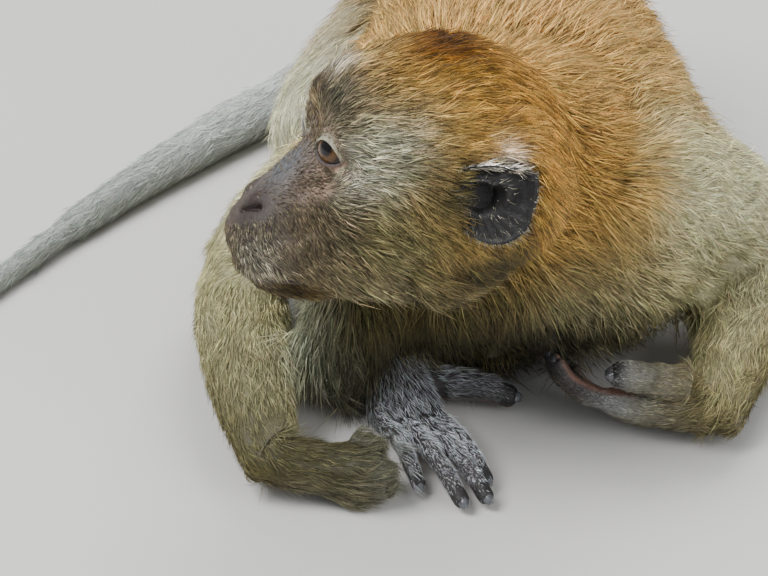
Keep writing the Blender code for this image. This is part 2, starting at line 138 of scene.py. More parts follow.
def mesh_from(name, points, faces):
    """A mesh from an array of places and an array of triangles or squares."""
    mesh = bpy.data.meshes.new(name)
    mesh.vertices.add(len(points))
    mesh.vertices.foreach_set("co", np.asarray(points, np.float32).ravel())
    mesh.loops.add(faces.size)
    mesh.loops.foreach_set("vertex_index", faces.astype(np.int32).ravel())
    mesh.polygons.add(len(faces))
    mesh.polygons.foreach_set("loop_start", np.arange(0, faces.size, faces.shape[1], dtype=np.int32))
    mesh.update(calc_edges=True)
    mesh.polygons.foreach_set("use_smooth", np.ones(len(faces), bool))
    return mesh


def put(mesh, points):
    """Gives the mesh new places."""
    mesh.vertices.foreach_set("co", points.astype(np.float32).ravel())
    mesh.update()
    return mesh


def object_from(name, mesh):
    """A new object in the scene that shows mesh."""
    obj = bpy.data.objects.new(name, mesh)
    bpy.context.scene.collection.objects.link(obj)
    return obj


def rows_of(collection, key, width, kind=np.float32):
    """One value of each of a mesh's elements as an array with width columns."""
    values = np.empty(len(collection) * width, kind)
    collection.foreach_get(key, values)
    return values.reshape(-1, width)


def places_of(mesh):
    """The mesh's places as an array."""
    return rows_of(mesh.vertices, "co", 3).astype(float)


def normals_of(mesh):
    """The mesh's vertex normals as an array."""
    return rows_of(mesh.vertex_normals, "vector", 3).astype(float)


def triangles_of(mesh):
    """The mesh's triangles as an array of three vertex numbers."""
    mesh.calc_loop_triangles()
    return rows_of(mesh.loop_triangles, "vertices", 3, np.int32)


def edges_of(mesh):
    """The mesh's edges as an array of two vertex numbers."""
    return rows_of(mesh.edges, "vertices", 2, np.int32)


def reworked(mesh, *steps, into=None):
    """The mesh, or the new one named by into, with each step done to it as an editable mesh."""
    work = bmesh.new()
    work.from_mesh(mesh)
    for step in steps:
        step(work)
    mesh = mesh if into is None else bpy.data.meshes.new(into)
    work.to_mesh(mesh)
    work.free()
    return mesh


def turn_outwards(work):
    """A step for reworked: turns the faces to point outwards."""
    bmesh.ops.recalc_face_normals(work, faces=work.faces)


def cut_to_triangles(work):
    """A step for reworked: cuts every face into triangles."""
    bmesh.ops.triangulate(work, faces=work.faces)


def closed(mesh):
    """The mesh with its doubled seam and poles merged and its faces turned outwards."""
    return reworked(mesh, lambda work: bmesh.ops.remove_doubles(work, verts=work.verts, dist=1e-6),
                    turn_outwards)


def spread(values, edges, rounds, share=0.5):
    """Moves each value, or row of them, towards its neighbours' mean by share, rounds times."""
    if values.ndim == 1:
        return spread(values[:, None], edges, rounds, share)[:, 0]
    ends = np.concatenate([edges[:, 0], edges[:, 1]])
    others = np.concatenate([edges[:, 1], edges[:, 0]])
    order = np.argsort(ends, kind="stable")
    ends, others = ends[order], others[order]
    count = np.maximum(np.bincount(ends, minlength=len(values)), 1)
    share = np.reshape(share, (-1, 1)) if np.ndim(share) else share
    for _ in range(rounds):
        mean = np.stack([np.bincount(ends, column[others], len(values)) for column in values.T], 1)
        values = values + share * (mean / count[:, None] - values)
    return values


def picks(points, triangles, count, rng, weight=None):
    """Random places on a surface: the triangle of each, and its shares of the three corners."""
    a, b, c = (points[triangles[:, k]] for k in range(3))
    area = lengths(np.cross(b - a, c - a)) / 2
    if weight is not None:
        area = area * weight[triangles].mean(1)
    chance = np.cumsum(area)
    which = np.searchsorted(chance, (np.arange(count) + rng.random(count)) / count * chance[-1])
    which = np.minimum(which, len(triangles) - 1)
    u, v = rng.random(count), rng.random(count)
    flip = u + v > 1
    u[flip], v[flip] = 1 - u[flip], 1 - v[flip]
    return triangles[which], np.stack([1 - u - v, u, v], 1)


def blend_at(values, corners, shares):
    """Values at picked places, from the values at the corners."""
    return np.einsum("nk,nk...->n...", shares, values[corners])


def nearest(points, targets, cell=0.004, batch=4000):
    """The number of the target nearest to the middle of each point's cell, a cell being cell across."""
    cells, place = np.unique(np.floor(points / cell).astype(np.int64), axis=0, return_inverse=True)
    middles = ((cells + 0.5) * cell).astype(np.float32)
    targets = targets.astype(np.float32)
    size = (targets ** 2).sum(1)
    found = np.empty(len(middles), np.int64)
    for start in range(0, len(middles), batch):
        some = middles[start:start + batch]
        found[start:start + batch] = (size - 2 * some @ targets.T).argmin(1)
    return found[place.ravel()]


# ------------------------------------------------------------------ the skin
def merged_solid(name, grow):
    """A CAD node's places and triangles with its doubles merged, grown outwards."""
    mesh = reworked(NODES[name].data,
                    lambda work: bmesh.ops.remove_doubles(work, verts=work.verts, dist=1e-5),
                    into="work")
    points, triangles = places_of(mesh) + normals_of(mesh) * grow, triangles_of(mesh)
    bpy.data.meshes.remove(mesh)
    return points, triangles


def thinner(obj, ratio):
    """Gives obj a modifier that leaves ratio of its triangles. Returns the modifier."""
    fewer = obj.modifiers.new("fewer", "DECIMATE")
    fewer.ratio = ratio
    fewer.use_collapse_triangulate = True
    return fewer


def joined_shell(parts, voxel, ratio=1.0):
    """The outside of overlapping (places, faces) as one closed mesh of small squares, thinned to ratio."""
    obj = object_from("shell", mesh_from("shell", *joined(parts)))
    remesh = obj.modifiers.new("voxels", "REMESH")
    remesh.mode = "VOXEL"
    remesh.voxel_size = voxel
    if ratio < 1:
        thinner(obj, ratio)
    return applied(obj)


def applied(obj):
    """The mesh that obj's modifiers make. The object itself is removed."""
    graph = bpy.context.evaluated_depsgraph_get()
    graph.update()
    mesh = bpy.data.meshes.new_from_object(obj.evaluated_get(graph))
    old = obj.data
    bpy.data.objects.remove(obj)
    bpy.data.meshes.remove(old)
    return mesh


def thin(mesh, weight, ratio, levels=8):
    """The mesh with fewer triangles where weight is high."""
    obj = object_from("thinned", mesh)
    group = obj.vertex_groups.new(name="plain")
    for level in range(1, levels + 1):
        at = np.flatnonzero(np.round(weight * levels) == level)
        group.add(at.tolist(), level / levels, "REPLACE")
    modifier = thinner(obj, ratio)
    modifier.vertex_group = "plain"
    modifier.vertex_group_factor = 1.0
    return applied(obj)


def finer(mesh, chosen):
    """The mesh with the triangles between chosen vertices cut into four."""
    def cut(work):
        work.verts.ensure_lookup_table()
        edges = [edge for edge in work.edges
                 if chosen[edge.verts[0].index] and chosen[edge.verts[1].index]]
        bmesh.ops.subdivide_edges(work, edges=edges, cuts=1, use_grid_fill=True)
    made = reworked(mesh, cut, cut_to_triangles, into="finer")
    bpy.data.meshes.remove(mesh)
    return made


# Each kind of node: hair length and coat depth in metres, the share of smoothing it takes, how
# strongly its hairs differ in tone, and a factor on their width.
BUILD_COLUMNS = ("length", "depth", "smoothing", "strength", "width")
BUILD = {
    "head": (0.0100, 0.0030, 0.40, 1.55, 0.90), "neck": (0.0200, 0.0055, 1.0, 1.1, 0.85),
    "trunk": (0.0190, 0.0055, 1.0, 0.95, 0.78), "upper_arm": (0.0150, 0.0042, 0.80, 0.70, 0.70),
    "forearm": (0.0110, 0.0028, 0.40, 0.75, 0.72), "hand": (0.0060, 0.0018, 0.07, 1.20, 0.62),
    "thigh": (0.0160, 0.0045, 0.80, 0.5, 0.72), "shin": (0.0110, 0.0030, 0.40, 0.5, 0.72),
    "foot": (0.0066, 0.0018, 0.07, 1.15, 0.60), "tail": (0.0100, 0.0020, 0.12, 0.35, 0.70),
    "eye": (0.0020, 0.0008, 0.40, 1.0, 1.0),
}
# Which way the hair of each limb runs, from the trunk towards the paws.
HEADINGS = {
    "upper_arm_left": (0.53, 0.67, -0.51), "upper_arm_right": (-0.51, 0.56, -0.66),
    "forearm_left": (-0.26, -0.96, -0.05), "forearm_right": (0.12, -0.99, -0.10),
    "thigh_left": (0.20, -0.92, -0.30), "thigh_right": (-0.35, -0.80, -0.45),
    "shin_left": (-0.08, 0.99, -0.10), "shin_right": (0.28, -0.95, -0.12),
}
GROW = 0.0022        # how far the solids are grown to close the gaps between them, metres
SUNK = 0.0005        # how far less than that the skin is drawn in again, metres
VOXEL = 0.00125      # size of the skin's first squares, metres
PAW_VOXEL = 0.00062  # size of the paws' first squares, metres
KEPT, PAW_KEPT = 0.12, 0.25      # shares of their triangles that are left, away from the face
SMOOTHING = 90       # rounds of smoothing the body's shell takes
SPACING = 0.007      # distance between the samples that say which node is near, metres
FLOOR_GAP = 0.0003   # the skin's lowest height over the floor, metres


def kind_of(name):
    """The node's kind: its name without its side or number."""
    return next(kind for kind in BUILD if name.startswith(kind))


def node_samples(names):
    """Places spread evenly over the nodes' surfaces, and the number of the node of each."""
    rng = np.random.default_rng(5)
    places, owners = [], []
    for number, name in enumerate(names):
        points, triangles = merged_solid(name, 0.0)
        a, b, c = (points[triangles[:, k]] for k in range(3))
        area = lengths(np.cross(b - a, c - a)).sum() / 2
        count = max(40, int(area / SPACING ** 2))
        places.append(blend_at(points, *picks(points, triangles, count, rng)))
        owners.append(np.full(count, number))
    return np.concatenate(places), np.concatenate(owners)


SAMPLES, OWNERS = node_samples(SKIN_SOURCE)


def owners_of(points):
    """The number in SKIN_SOURCE of the node that each point belongs to."""
    return OWNERS[nearest(points, SAMPLES)]


def by_node(owners, column):
    """The named column of BUILD for each point, by its node."""
    place = BUILD_COLUMNS.index(column)
    return np.array([BUILD[kind_of(name)][place] for name in SKIN_SOURCE])[owners]


# The eye's opening, in degrees about the gaze: corners, and how far the lids arch.
GAZE = {"left": unit(np.array([0.83, 0.53, 0.12])),      # forward, outward, up
        "right": unit(np.array([0.97, 0.20, 0.13]))}
CORNER_MIDDLE, CORNER_REACH = 2.0, 38.0
INNER_CORNER, CORNERS_FALL = -6.0, 5.0       # the inner corner's height, and half the line's fall
UPPER_ARCH, LOWER_ARCH = 30.0, 14.0
EYE_UNITS = EYE_RADIUS / HEAD_UNIT
LID_THICKNESS = 0.075        # head units over the eyeball


def round_eye(points, side):
    """Each point's distance from an eye's middle in head units, and its angle outside the lids' rims.

    The rims are two arches (1 - t^2)^0.8 over the line between the corners. The angle is in
    degrees, and negative within the opening. After them come the angle over the upper rim, and
    the cosine of the angle from the gaze.
    """
    away = (points - middle_of("eye_" + side)) / HEAD_UNIT
    away = np.stack([away @ FORWARD, away @ LEFT * SIDES[side], away @ UP], 1)
    reach = lengths(away)
    gaze = GAZE[side]
    outward = unit(np.array([0.0, 1.0, 0.0]) - gaze[1] * gaze)
    upward = np.cross(gaze, outward)
    upward = upward if upward[2] > 0 else -upward
    way = away / np.maximum(reach, 1e-9)[:, None]
    across = np.degrees(np.arctan2(way @ outward, way @ gaze))
    height = np.degrees(np.arcsin(np.clip(way @ upward, -1, 1)))
    t = (across - CORNER_MIDDLE) / CORNER_REACH
    chord = INNER_CORNER - CORNERS_FALL * (np.clip(t, -1, 1) + 1)
    arch = np.clip(1 - t * t, 0, 1) ** 0.8
    above = height - (chord + UPPER_ARCH * arch)
    below = (chord - LOWER_ARCH * arch) - height
    beyond = (np.abs(t) - 1) * CORNER_REACH
    outside = np.maximum(np.maximum(above, below), beyond)
    outside = np.where(np.abs(t) > 1, np.hypot(np.maximum(beyond, 0), height - chord), outside)
    return reach, outside, above, way @ gaze


def shape_eyes(points):
    """Draws the skin near each eye onto lids just over the eyeball, and in behind it within the rims.

    A point moves only along its own line from the eye's middle: to the lids' radius close to
    the rims, back to its own further out, and well inside the ball within the opening.
    """
    for side in SIDES:
        reach, outside, above, facing = round_eye(points, side)
        near = (reach < 2.3) & (facing > -0.15)
        lid = EYE_UNITS + LID_THICKNESS + 0.014 * hill(outside, 2.2, 1.8) - 0.035 * hill(above, 11.0, 2.6)
        hold = 1 - ease(8.0, 30.0, outside)
        wanted = np.maximum(reach, lid) * (1 - hold) + lid * hold
        wanted = wanted + (0.66 * EYE_UNITS - wanted) * ease(0.7, -0.7, outside)
        fade = (1 - ease(1.7, 2.3, reach)) * near
        scale = 1 + (wanted / np.maximum(reach, 1e-9) - 1) * fade
        middle = middle_of("eye_" + side)
        points = middle + (points - middle) * scale[:, None]
    return points


NOSTRIL = np.array([[2.86, 0.42, -2.06], [2.36, 1.02, -1.84]])   # a slit's ends, head units
MOUTH_HEIGHT = -4.20


def to_slit(forward, outward, up):
    """Distance in head units from each point to the nearest point of a nostril's slit."""
    points = np.stack([forward, outward, up], 1)
    line = NOSTRIL[1] - NOSTRIL[0]
    along = np.clip((points - NOSTRIL[0]) @ line / (line @ line), 0, 1)
    return lengths(points - NOSTRIL[0] - along[:, None] * line)


def mouth_height(forward):
    """Height of the line between the lips, which turns down a little at its corners."""
    return MOUTH_HEIGHT - 0.16 * ease(1.9, 1.0, forward)


def shape_face(points, normals):
    """Presses the features into the face: sums of hills, along the skin's normal or forward.

    Brow and nasion move forward and back. Nose, lips, cheeks and their grooves move along
    the normal.
    """
    a, l, b = head_coordinates(points)
    m = np.abs(l)
    front = ease(-1.6, -0.2, a)
    muzzle = ease(0.4, 1.2, a)
    slit = to_slit(a, m, b)
    forward = (-0.86 * hill(b, 0.42, 0.80) * hill(l, -0.12, 1.0)
               + 0.34 * hill(b, 1.75, 0.45) * hill(m, 0.8, 1.3)) * front
    lips = ease(0.95, 1.35, a)
    gap = b - mouth_height(a)
    out = (0.12 * hill(a, 2.42, 0.42) * hill(m, 0.72, 0.30) * hill(b, -1.60, 0.30)
           + 0.10 * hill(a, 3.10, 0.35) * hill(m, 0.0, 0.40) * hill(b, -2.20, 0.30)
           - 0.24 * hill(slit, 0.0, 0.11)
           - 0.07 * hill(a, 3.0, 0.5) * hill(m, 0.0, 0.10) * ease(-2.3, -2.6, b) * muzzle
           + lips * (-0.12 * hill(gap, 0.0, 0.070) + 0.05 * hill(gap, 0.26, 0.17)
                     - 0.10 * hill(gap, -0.35, 0.30))
           - 0.10 * hill(a, 1.35, 0.55) * hill(m, 1.35, 0.40) * hill(b, -0.75, 0.55)
           + 0.10 * hill(a, 0.5, 0.8) * hill(m, 2.3, 0.6) * hill(b, -1.6, 0.6))
    moved = HEAD_UNIT * (forward[:, None] * FORWARD + out[:, None] * normals)
    inside = (a > -3.0) & (a < 4.0) & (m < 4.2) & (b > -6.2) & (b < 3.2)
    return points + moved * inside[:, None]


def rim_angle(points):
    """Degrees outside the nearer eye's rims, with much added away from the eyes."""
    found = []
    for side in SIDES:
        reach, outside, _, _ = round_eye(points, side)
        found.append(outside + 60 * (reach > 1.9))
    return np.minimum(*found)


def head_fields(points):
    """Hair length and coat depth over the head, in metres: short on the face, long on the jaw."""
    a, _, b = head_coordinates(points)
    length = np.full(len(points), 0.0100)
    length += 0.0120 * ease(-2.6, -4.6, b) * ease(0.3, -1.8, a)
    length += 0.0050 * ease(-5.8, -7.4, a)
    length += (0.0030 - length) * ease(-0.4, 1.0, a + 0.25 * (b + 1.5) * (b > -1.5))
    length += (0.0075 - length) * hill(b, 2.1, 0.8) * ease(-1.2, -0.2, a)
    length += (0.0022 * hill(b, -3.75, 0.40) + 0.0060 * hill(b, -5.3, 0.60)) * ease(0.4, 1.4, a)
    length += (0.0022 - length) * (1 - ease(8.0, 34.0, rim_angle(points)))
    return length, 0.27 * length + 0.0002 + 0.0016 * hill(b, 2.1, 0.5) * ease(-0.6, 0.0, a)


# ------------------------------------------------------------------ paws
def directions(along, palm):
    """Unit directions along a hand, across it towards the thumb's side, and out of its palm."""
    along, palm = unit(np.array(along)), np.array(palm)
    palm = unit(palm - along * (palm @ along))
    across = np.cross(along, palm)
    return along, across if across[2] > 0 else -across, palm


def paw_plan(name, offset, along, across, palm, **more):
    """The directions of one hand or foot, and its start: offset in metres from its box's low corner."""
    start = np.array(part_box(name)[0]) + np.array(offset)
    return dict(start=start, along=unit(np.array(along)), across=unit(np.array(across)),
                palm=unit(np.array(palm)), **more)


PAWS = {
    "hand_left": paw_plan("hand_left", (0.0657, 0.0102, 0.0126),
                          *directions((-0.95, 0.22, -0.03), (0.28, 0.48, 0.83)),
                          curl=(10, 22, 30), thumb=0.04, stem=(1.30, 0.22, 0.82), thick=1.45, short=0.85),
    "hand_right": paw_plan("hand_right", (0.0051, 0.0161, 0.0156),
                           *directions((0.97, -0.20, -0.07), (-0.05, 0.95, 0.22)),
                           curl=(86, 98, 60), thumb=0.15, short=0.42, stem=(-0.45, -0.10, 0.40), thick=0.85,
                           narrow=0.80),
    "foot_right": paw_plan("foot_right", (0.0083, 0.1280, 0.0), (0.215, -1, 0), (1, 0.215, 0),
                           (0, 0, -1), sweep=0.26, great=(0.42, 1.0)),
    "foot_left": paw_plan("foot_left", (0.0251, 0.1331, 0.0), (0.10, -1, 0), (-1, -0.10, 0),
                          (0, 0, -1), sweep=0.0, great=(0.8, 0.6)),
}
# Rings in body units: (reach from the wrist, half width, half thickness), and for the foot
# (reach from the heel, half width, height).
PALM_RINGS = [(-1.0, 0.90, 0.80), (-0.35, 1.04, 0.90), (0.4, 1.08, 0.86), (1.2, 1.16, 0.80),
              (2.6, 1.36, 0.72), (3.5, 1.34, 0.60), (4.1, 1.10, 0.40)]
FOOT_RINGS = [(0.15, 0.68, 1.4), (0.9, 0.96, 2.15), (2.2, 1.04, 3.1), (3.8, 1.05, 2.7),
              (5.6, 1.16, 2.10), (6.8, 1.26, 1.62), (7.6, 1.18, 1.22), (8.0, 0.90, 0.9)]
# Fingers from the thumb's side, toes from the great toe's: place across, length, half
# thickness, and how far the tip fans outwards.
FINGERS = [(1.02, 3.5, 0.33, 0.16), (0.35, 4.0, 0.35, 0.05), (-0.35, 3.9, 0.34, -0.05),
           (-1.00, 3.2, 0.31, -0.16)]
TOES = [(0.95, 4.4, 0.31, -0.03), (0.32, 5.5, 0.33, 0.00), (-0.32, 5.5, 0.32, -0.05),
        (-0.94, 4.1, 0.29, -0.14)]
FINGER_BONES = (0.46, 0.31, 0.23)


def through(rows, count):
    """Rows of numbers resampled evenly along a Catmull-Rom curve through them."""
    rows = np.asarray(rows, float)
    at = np.concatenate([[0.0], np.cumsum(lengths(np.diff(rows[:, :3], axis=0)))])
    slopes = np.gradient(rows, at, axis=0)
    s = np.linspace(0.0, at[-1], count)
    i = np.clip(np.searchsorted(at, s, side="right") - 1, 0, len(at) - 2)
    h = (at[i + 1] - at[i])[:, None]
    t = (s - at[i])[:, None] / h
    return (rows[i] * (2 * t**3 - 3 * t**2 + 1) + rows[i + 1] * (3 * t**2 - 2 * t**3)
            + slopes[i] * h * (t**3 - 2 * t**2 + t) + slopes[i + 1] * h * (t**3 - t**2))


def ring_faces(rows, turns):
    """Triangles over rows of turns points each, closed by one more point at either end."""
    k = np.arange(turns)
    after = (k + 1) % turns
    row = (np.arange(rows - 1) * turns)[:, None]
    faces = np.stack([row + k, row + after, row + after + turns, row + k, row + after + turns,
                      row + k + turns], -1).reshape(-1, 3)
    first = rows * turns
    last_ring = first - turns
    return np.concatenate([faces, np.stack([np.full(turns, first), after, k], 1),
                           np.stack([np.full(turns, first + 1), k + last_ring, after + last_ring], 1)])


def lofted(centres, sides_out, ups_out, turns=20):
    """A closed tube: centre + side cos t + up sin t on each ring, with a point at each end."""
    t = np.linspace(0, 2 * math.pi, turns, endpoint=False)
    rings = (centres[:, None] + sides_out[:, None] * np.cos(t)[None, :, None]
             + ups_out[:, None] * np.sin(t)[None, :, None])
    return np.concatenate([rings.reshape(-1, 3), centres[:1], centres[-1:]]), ring_faces(len(rings), turns)


def tube_of(rows):
    """A round tube along rows of place in metres and radius in body units."""
    centres, radius = rows[:, :3], rows[:, 3:] * HEAD_UNIT
    along = unit(np.gradient(centres, axis=0))
    aside = unit(np.cross(along, [0.13, 0.21, 0.97]))
    return lofted(centres, aside * radius, np.cross(aside, along) * radius)


def digit_line(joints, radii, count=34):
    """Rows of place and radius along a digit, wider at its joints and rounded off at its tip."""
    rows = through(np.column_stack([joints, radii]), count)
    t = np.linspace(0, 1, count)
    steps = lengths(np.diff(joints, axis=0))
    length = steps.sum()
    marks = np.cumsum(steps)[:-1] / length
    bulge = sum(0.07 * hill(t, mark, 0.055) for mark in marks) + 0.10 * hill(t, 0.93, 0.06)
    end = rows[-1, 3] * HEAD_UNIT
    cap = np.sqrt(np.clip(1 - np.clip((t - 1) * length / end + 1, 0, 1) ** 2, 1e-4, 1))
    rows[:, 3] *= (1 + bulge) * cap
    return rows


def plan_of(name):
    """A paw's plan: its start, and its directions along, across and out of the palm."""
    return [PAWS[name][key] for key in ("start", "along", "across", "palm")]


def fingers_of(name):
    """The joints, radii and back direction at the tip of each finger and the thumb, in metres."""
    plan, made = PAWS[name], []
    start, along, across, palm = plan_of(name)
    for apart, length, radius, fan in FINGERS:
        at = start + HEAD_UNIT * (along * 3.3 + across * apart * plan.get("narrow", 1.0) - palm * 0.02)
        joints, bend = [at], 0.0
        for bone, turn in zip(FINGER_BONES, plan["curl"]):
            bend += math.radians(turn)
            way = along * math.cos(bend) + palm * math.sin(bend) + across * fan
            at = at + way * (length * plan["short"] * bone * HEAD_UNIT)
            joints.append(at)
        back = along * math.sin(bend) - palm * math.cos(bend)
        made.append((np.array(joints), np.array([1.12, 1.0, 0.90, 0.78]) * radius, back))
    outward, turned, inward = plan["stem"]
    at = start + HEAD_UNIT * (along * 0.9 + across * outward + palm * inward)
    way = unit(along + across * turned + palm * plan["thumb"])
    joints = at + np.multiply.outer([0.0, 1.05, 2.05, 2.95], way) * HEAD_UNIT
    back = unit(across - way * (across @ way) - palm * 0.5)
    return made + [(joints, np.array([0.50, 0.40, 0.36, 0.32]) * plan["thick"], back)]


def toes_of(name):
    """The joints, radii and back direction at the tip of each toe and the great toe, in metres."""
    plan, made = PAWS[name], []
    start, along, across, palm = plan_of(name)
    up = -palm
    for apart, length, radius, fan in TOES:
        at = start + HEAD_UNIT * (along * 7.35 + across * apart + up * 0.74)
        way = unit(along + across * (fan + plan["sweep"])) * length
        joints = at + HEAD_UNIT * np.array([way * 0.0, way * 0.46 + up * 0.24, way * 0.78 + up * 0.02,
                                            way * 1.00 - up * 0.36])
        made.append((joints, np.array([1.10, 1.0, 0.92, 0.82]) * radius,
                     unit(up + unit(way) * 0.55)))
    at = start + HEAD_UNIT * (along * 5.2 + across * 0.6 + up * 0.90)
    way = unit(along * plan["great"][0] + across * plan["great"][1])
    joints = at + HEAD_UNIT * np.array([way * 0.0, way * 1.5 + up * 0.05, way * 2.9,
                                        way * 3.95 - up * 0.33])
    return made + [(joints, np.array([0.68, 0.55, 0.46, 0.38]), unit(up + way * 0.5))]


def digits_of(name):
    """The joints, radii and back direction at the tip of each digit of a hand or foot, in metres."""
    return fingers_of(name) if name.startswith("hand") else toes_of(name)


def along_digits(name, points):
    """The way the hair lies on a hand or foot, and the way out of its bare side.

    Both are those of the nearest bone of a digit, or of the whole paw further off.
    """
    _, along, _, palm = plan_of(name)
    way = np.tile(along, (len(points), 1))
    bare = np.tile(palm, (len(points), 1))
    nearest_yet = np.full(len(points), 1.1 * HEAD_UNIT)
    for joints, _, back in digits_of(name):
        side = unit(np.cross(joints[-1] - joints[-2], back))
        for one, other in zip(joints[:-1], joints[1:]):
            bone = other - one
            share = np.clip((points - one) @ bone / (bone @ bone), 0, 1)
            gap = lengths(points - one - share[:, None] * bone)
            closer = gap < nearest_yet
            way[closer], nearest_yet[closer] = unit(bone), gap[closer]
            bare[closer] = np.cross(unit(bone), side)
    return way, bare


# The tendons over a paw's back, in body units. Reach and height of their starts, how far apart
# those are, how high they cross a knuckle, and their radii.
TENDONS = {"hand": (0.2, 0.50, 0.3 * 0.7, 0.28), "foot": (3.6, 2.25, 0.35, 0.14)}
TENDON_RADII = [0.16, 0.20, 0.30, 0.20]


def tendon(name, number, joints):
    """A thin tube under the skin from the wrist or ankle over the knuckle of one digit."""
    start, along, across, palm = plan_of(name)
    reach, height, apart, knuckle_height = TENDONS[name[:4]]
    back = -palm
    root = start + HEAD_UNIT * (along * reach + across * apart * (1.5 - number) + back * height)
    knuckle = joints[0] + HEAD_UNIT * (back * knuckle_height - along * 0.1)
    path = np.array([root, (root + knuckle) / 2 + back * 0.0006, knuckle, joints[1]])
    return tube_of(through(np.column_stack([path, TENDON_RADII]), 24))


def paw_shell(name):
    """A hand or foot: palm or sole, the tendons over its back, and its digits, as one closed skin."""
    start, along, across, palm = plan_of(name)
    if name.startswith("hand"):
        rows = through([(r, 0, 0, w, h, 0) for r, w, h in PALM_RINGS], 26)
    else:
        rows = through([(r, 0, 0, w, h / 2, h / 2 - 0.06) for r, w, h in FOOT_RINGS], 34)
    centres = start + HEAD_UNIT * mixed((rows[:, 0], along), (-rows[:, 5], palm))
    wide = rows[:, 3] * PAWS[name].get("narrow", 1.0)
    pieces = [lofted(centres, np.multiply.outer(wide, across) * HEAD_UNIT,
                     np.multiply.outer(rows[:, 4], palm) * HEAD_UNIT, 28)]
    if name == "hand_right":       # a fist: its hollow is filled
        core = start + HEAD_UNIT * (along * 3.0 + palm * 0.5)
        core = core + np.multiply.outer(np.linspace(-0.75, 0.75, 12), across) * HEAD_UNIT
        pieces.append(tube_of(np.column_stack([core, np.full(12, 0.66)])))
    for number, (joints, radii, _) in enumerate(digits_of(name)):
        if number < 4:
            pieces.append(tendon(name, number, joints))
        pieces.append(tube_of(digit_line(joints, radii)))
    mesh = joined_shell(pieces, PAW_VOXEL * (2 if name == "foot_left" else 1), PAW_KEPT)
    return put(mesh, spread(places_of(mesh), edges_of(mesh), 3))


# ------------------------------------------------------------------ ears
EAR_HALF = (1.48, 1.40)      # half width and half height, body units


def ear_frame(side):
    """The ear's middle, and its outward and backward directions."""
    way = SIDES[side]
    return (on_head(-4.78, way * 4.72, -1.24), unit(LEFT * way * 0.90 + FORWARD * 0.44),
            unit(-FORWARD * 0.90 + LEFT * way * 0.44))


def ear_shell(side):
    """One ear as a closed bowl.

    Over angle t and share r of the outline: the front goes down into the concha, up to the
    inner fold, down and up again to the rolled rim; the back bulges in to meet the head.
    The outline is an oval with a corner at its top and back.
    """
    middle, out, back = ear_frame(side)
    t = np.linspace(0, 2 * math.pi, 96, endpoint=False)
    r = np.concatenate([np.linspace(0.02, 1.0, 40), np.linspace(0.985, 0.02, 22)])
    front = (np.arange(len(r)) < 40)[:, None]
    T, R = np.meshgrid(t, r)
    turn = (np.degrees(T) + 180) % 360 - 180
    outline = (1 + 0.17 * hill(turn, 38, 17) - 0.09 * hill(turn, 88, 26) - 0.08 * hill(turn, -14, 15)
               + 0.02 * hill(turn, -75, 40))
    upper = ease(-30, 8, turn) * ease(172, 135, turn)
    folds = 0.26 * hill(R, 0.54, 0.09) - 0.14 * hill(R, 0.76, 0.09) + 0.12 * hill(R, 0.96, 0.05)
    creases = 0.040 * np.sin(19 * T) * hill(R, 0.72, 0.20) + 0.08 * hill(R, 0.97, 0.05)
    rise = (-0.72 + 0.60 * ease(0.12, 0.46, R) + 0.10 * ease(0.5, 1.0, R)
            + upper * folds + (1 - upper) * creases
            + 0.24 * hill(turn, 62, 9) * hill(R, 0.60, 0.25)
            + 0.24 * hill(np.abs(turn), 170, 22) * hill(R, 0.62, 0.16)
            - 0.10 * hill(np.abs(turn), 180, 40) * ease(0.75, 1.0, R))
    height = np.where(front, rise, -1.05 + 1.06 * ease(0.15, 1.0, R) - 0.02)
    inward = np.where(front, 1.0, 1.0 - 0.02 * ease(0.5, 1.0, R))
    hollow = (1 - R) * front       # the concha lies a little forward of the middle
    across = (np.cos(T) * outline * R * (1 + 0.10 * np.sin(T)) * inward - 0.42 * hollow) * EAR_HALF[0]
    along = (np.sin(T) * outline * R * inward + 0.06 * hollow) * EAR_HALF[1]
    points = middle + HEAD_UNIT * mixed((height, out), (across, back), (along, UP))
    flat = np.concatenate([points.reshape(-1, 3), points[:1].mean(1), points[-1:].mean(1)])
    faces = ring_faces(*R.shape)[:, ::-SIDES[side]]
    return reworked(mesh_from("ear", flat, faces), turn_outwards)


def body_shell():
    """The body without paws and ears: the solids' shared outside, smoothed, thinned and drawn in."""
    mesh = joined_shell([merged_solid(name, GROW) for name in BODY_SOURCE], VOXEL)
    points, edges = places_of(mesh), edges_of(mesh)
    owners = owners_of(points)
    a, l, b = head_coordinates(points)
    jaw = ease(-1.8, -3.6, a) * ease(-2.2, -3.6, b) * (owners == SKIN_SOURCE.index("head"))
    share = spread(np.maximum(by_node(owners, "smoothing"), jaw), edges, 6)
    points = spread(points, edges, SMOOTHING, 0.5 * share)
    normals = normals_of(put(mesh, points))
    on_the_head = np.isin(owners, [SKIN_SOURCE.index(name) for name in ["head", *EYES]])
    depth = np.where(on_the_head, head_fields(points)[1], by_node(owners, "depth"))
    depth = depth * (1 - 0.8 * ease(-0.6, -0.9, normals[:, 2]) * ease(0.012, 0.004, points[:, 2]))
    depth = spread(depth, edges, 12) + GROW - SUNK
    for _ in range(3):
        points = spread(points - normals * depth[:, None] / 3, edges, 2, 0.5 * (1 - share) + 0.05)
        normals = normals_of(put(mesh, points))
    a, l, b = head_coordinates(points)
    face = ease(-2.6, -1.6, a) * (np.abs(l) < 5) * (b < 3.5) * (b > -6.5) * (a < 4.0)
    return thin(mesh, np.clip(1 - face, 0, 1), KEPT)


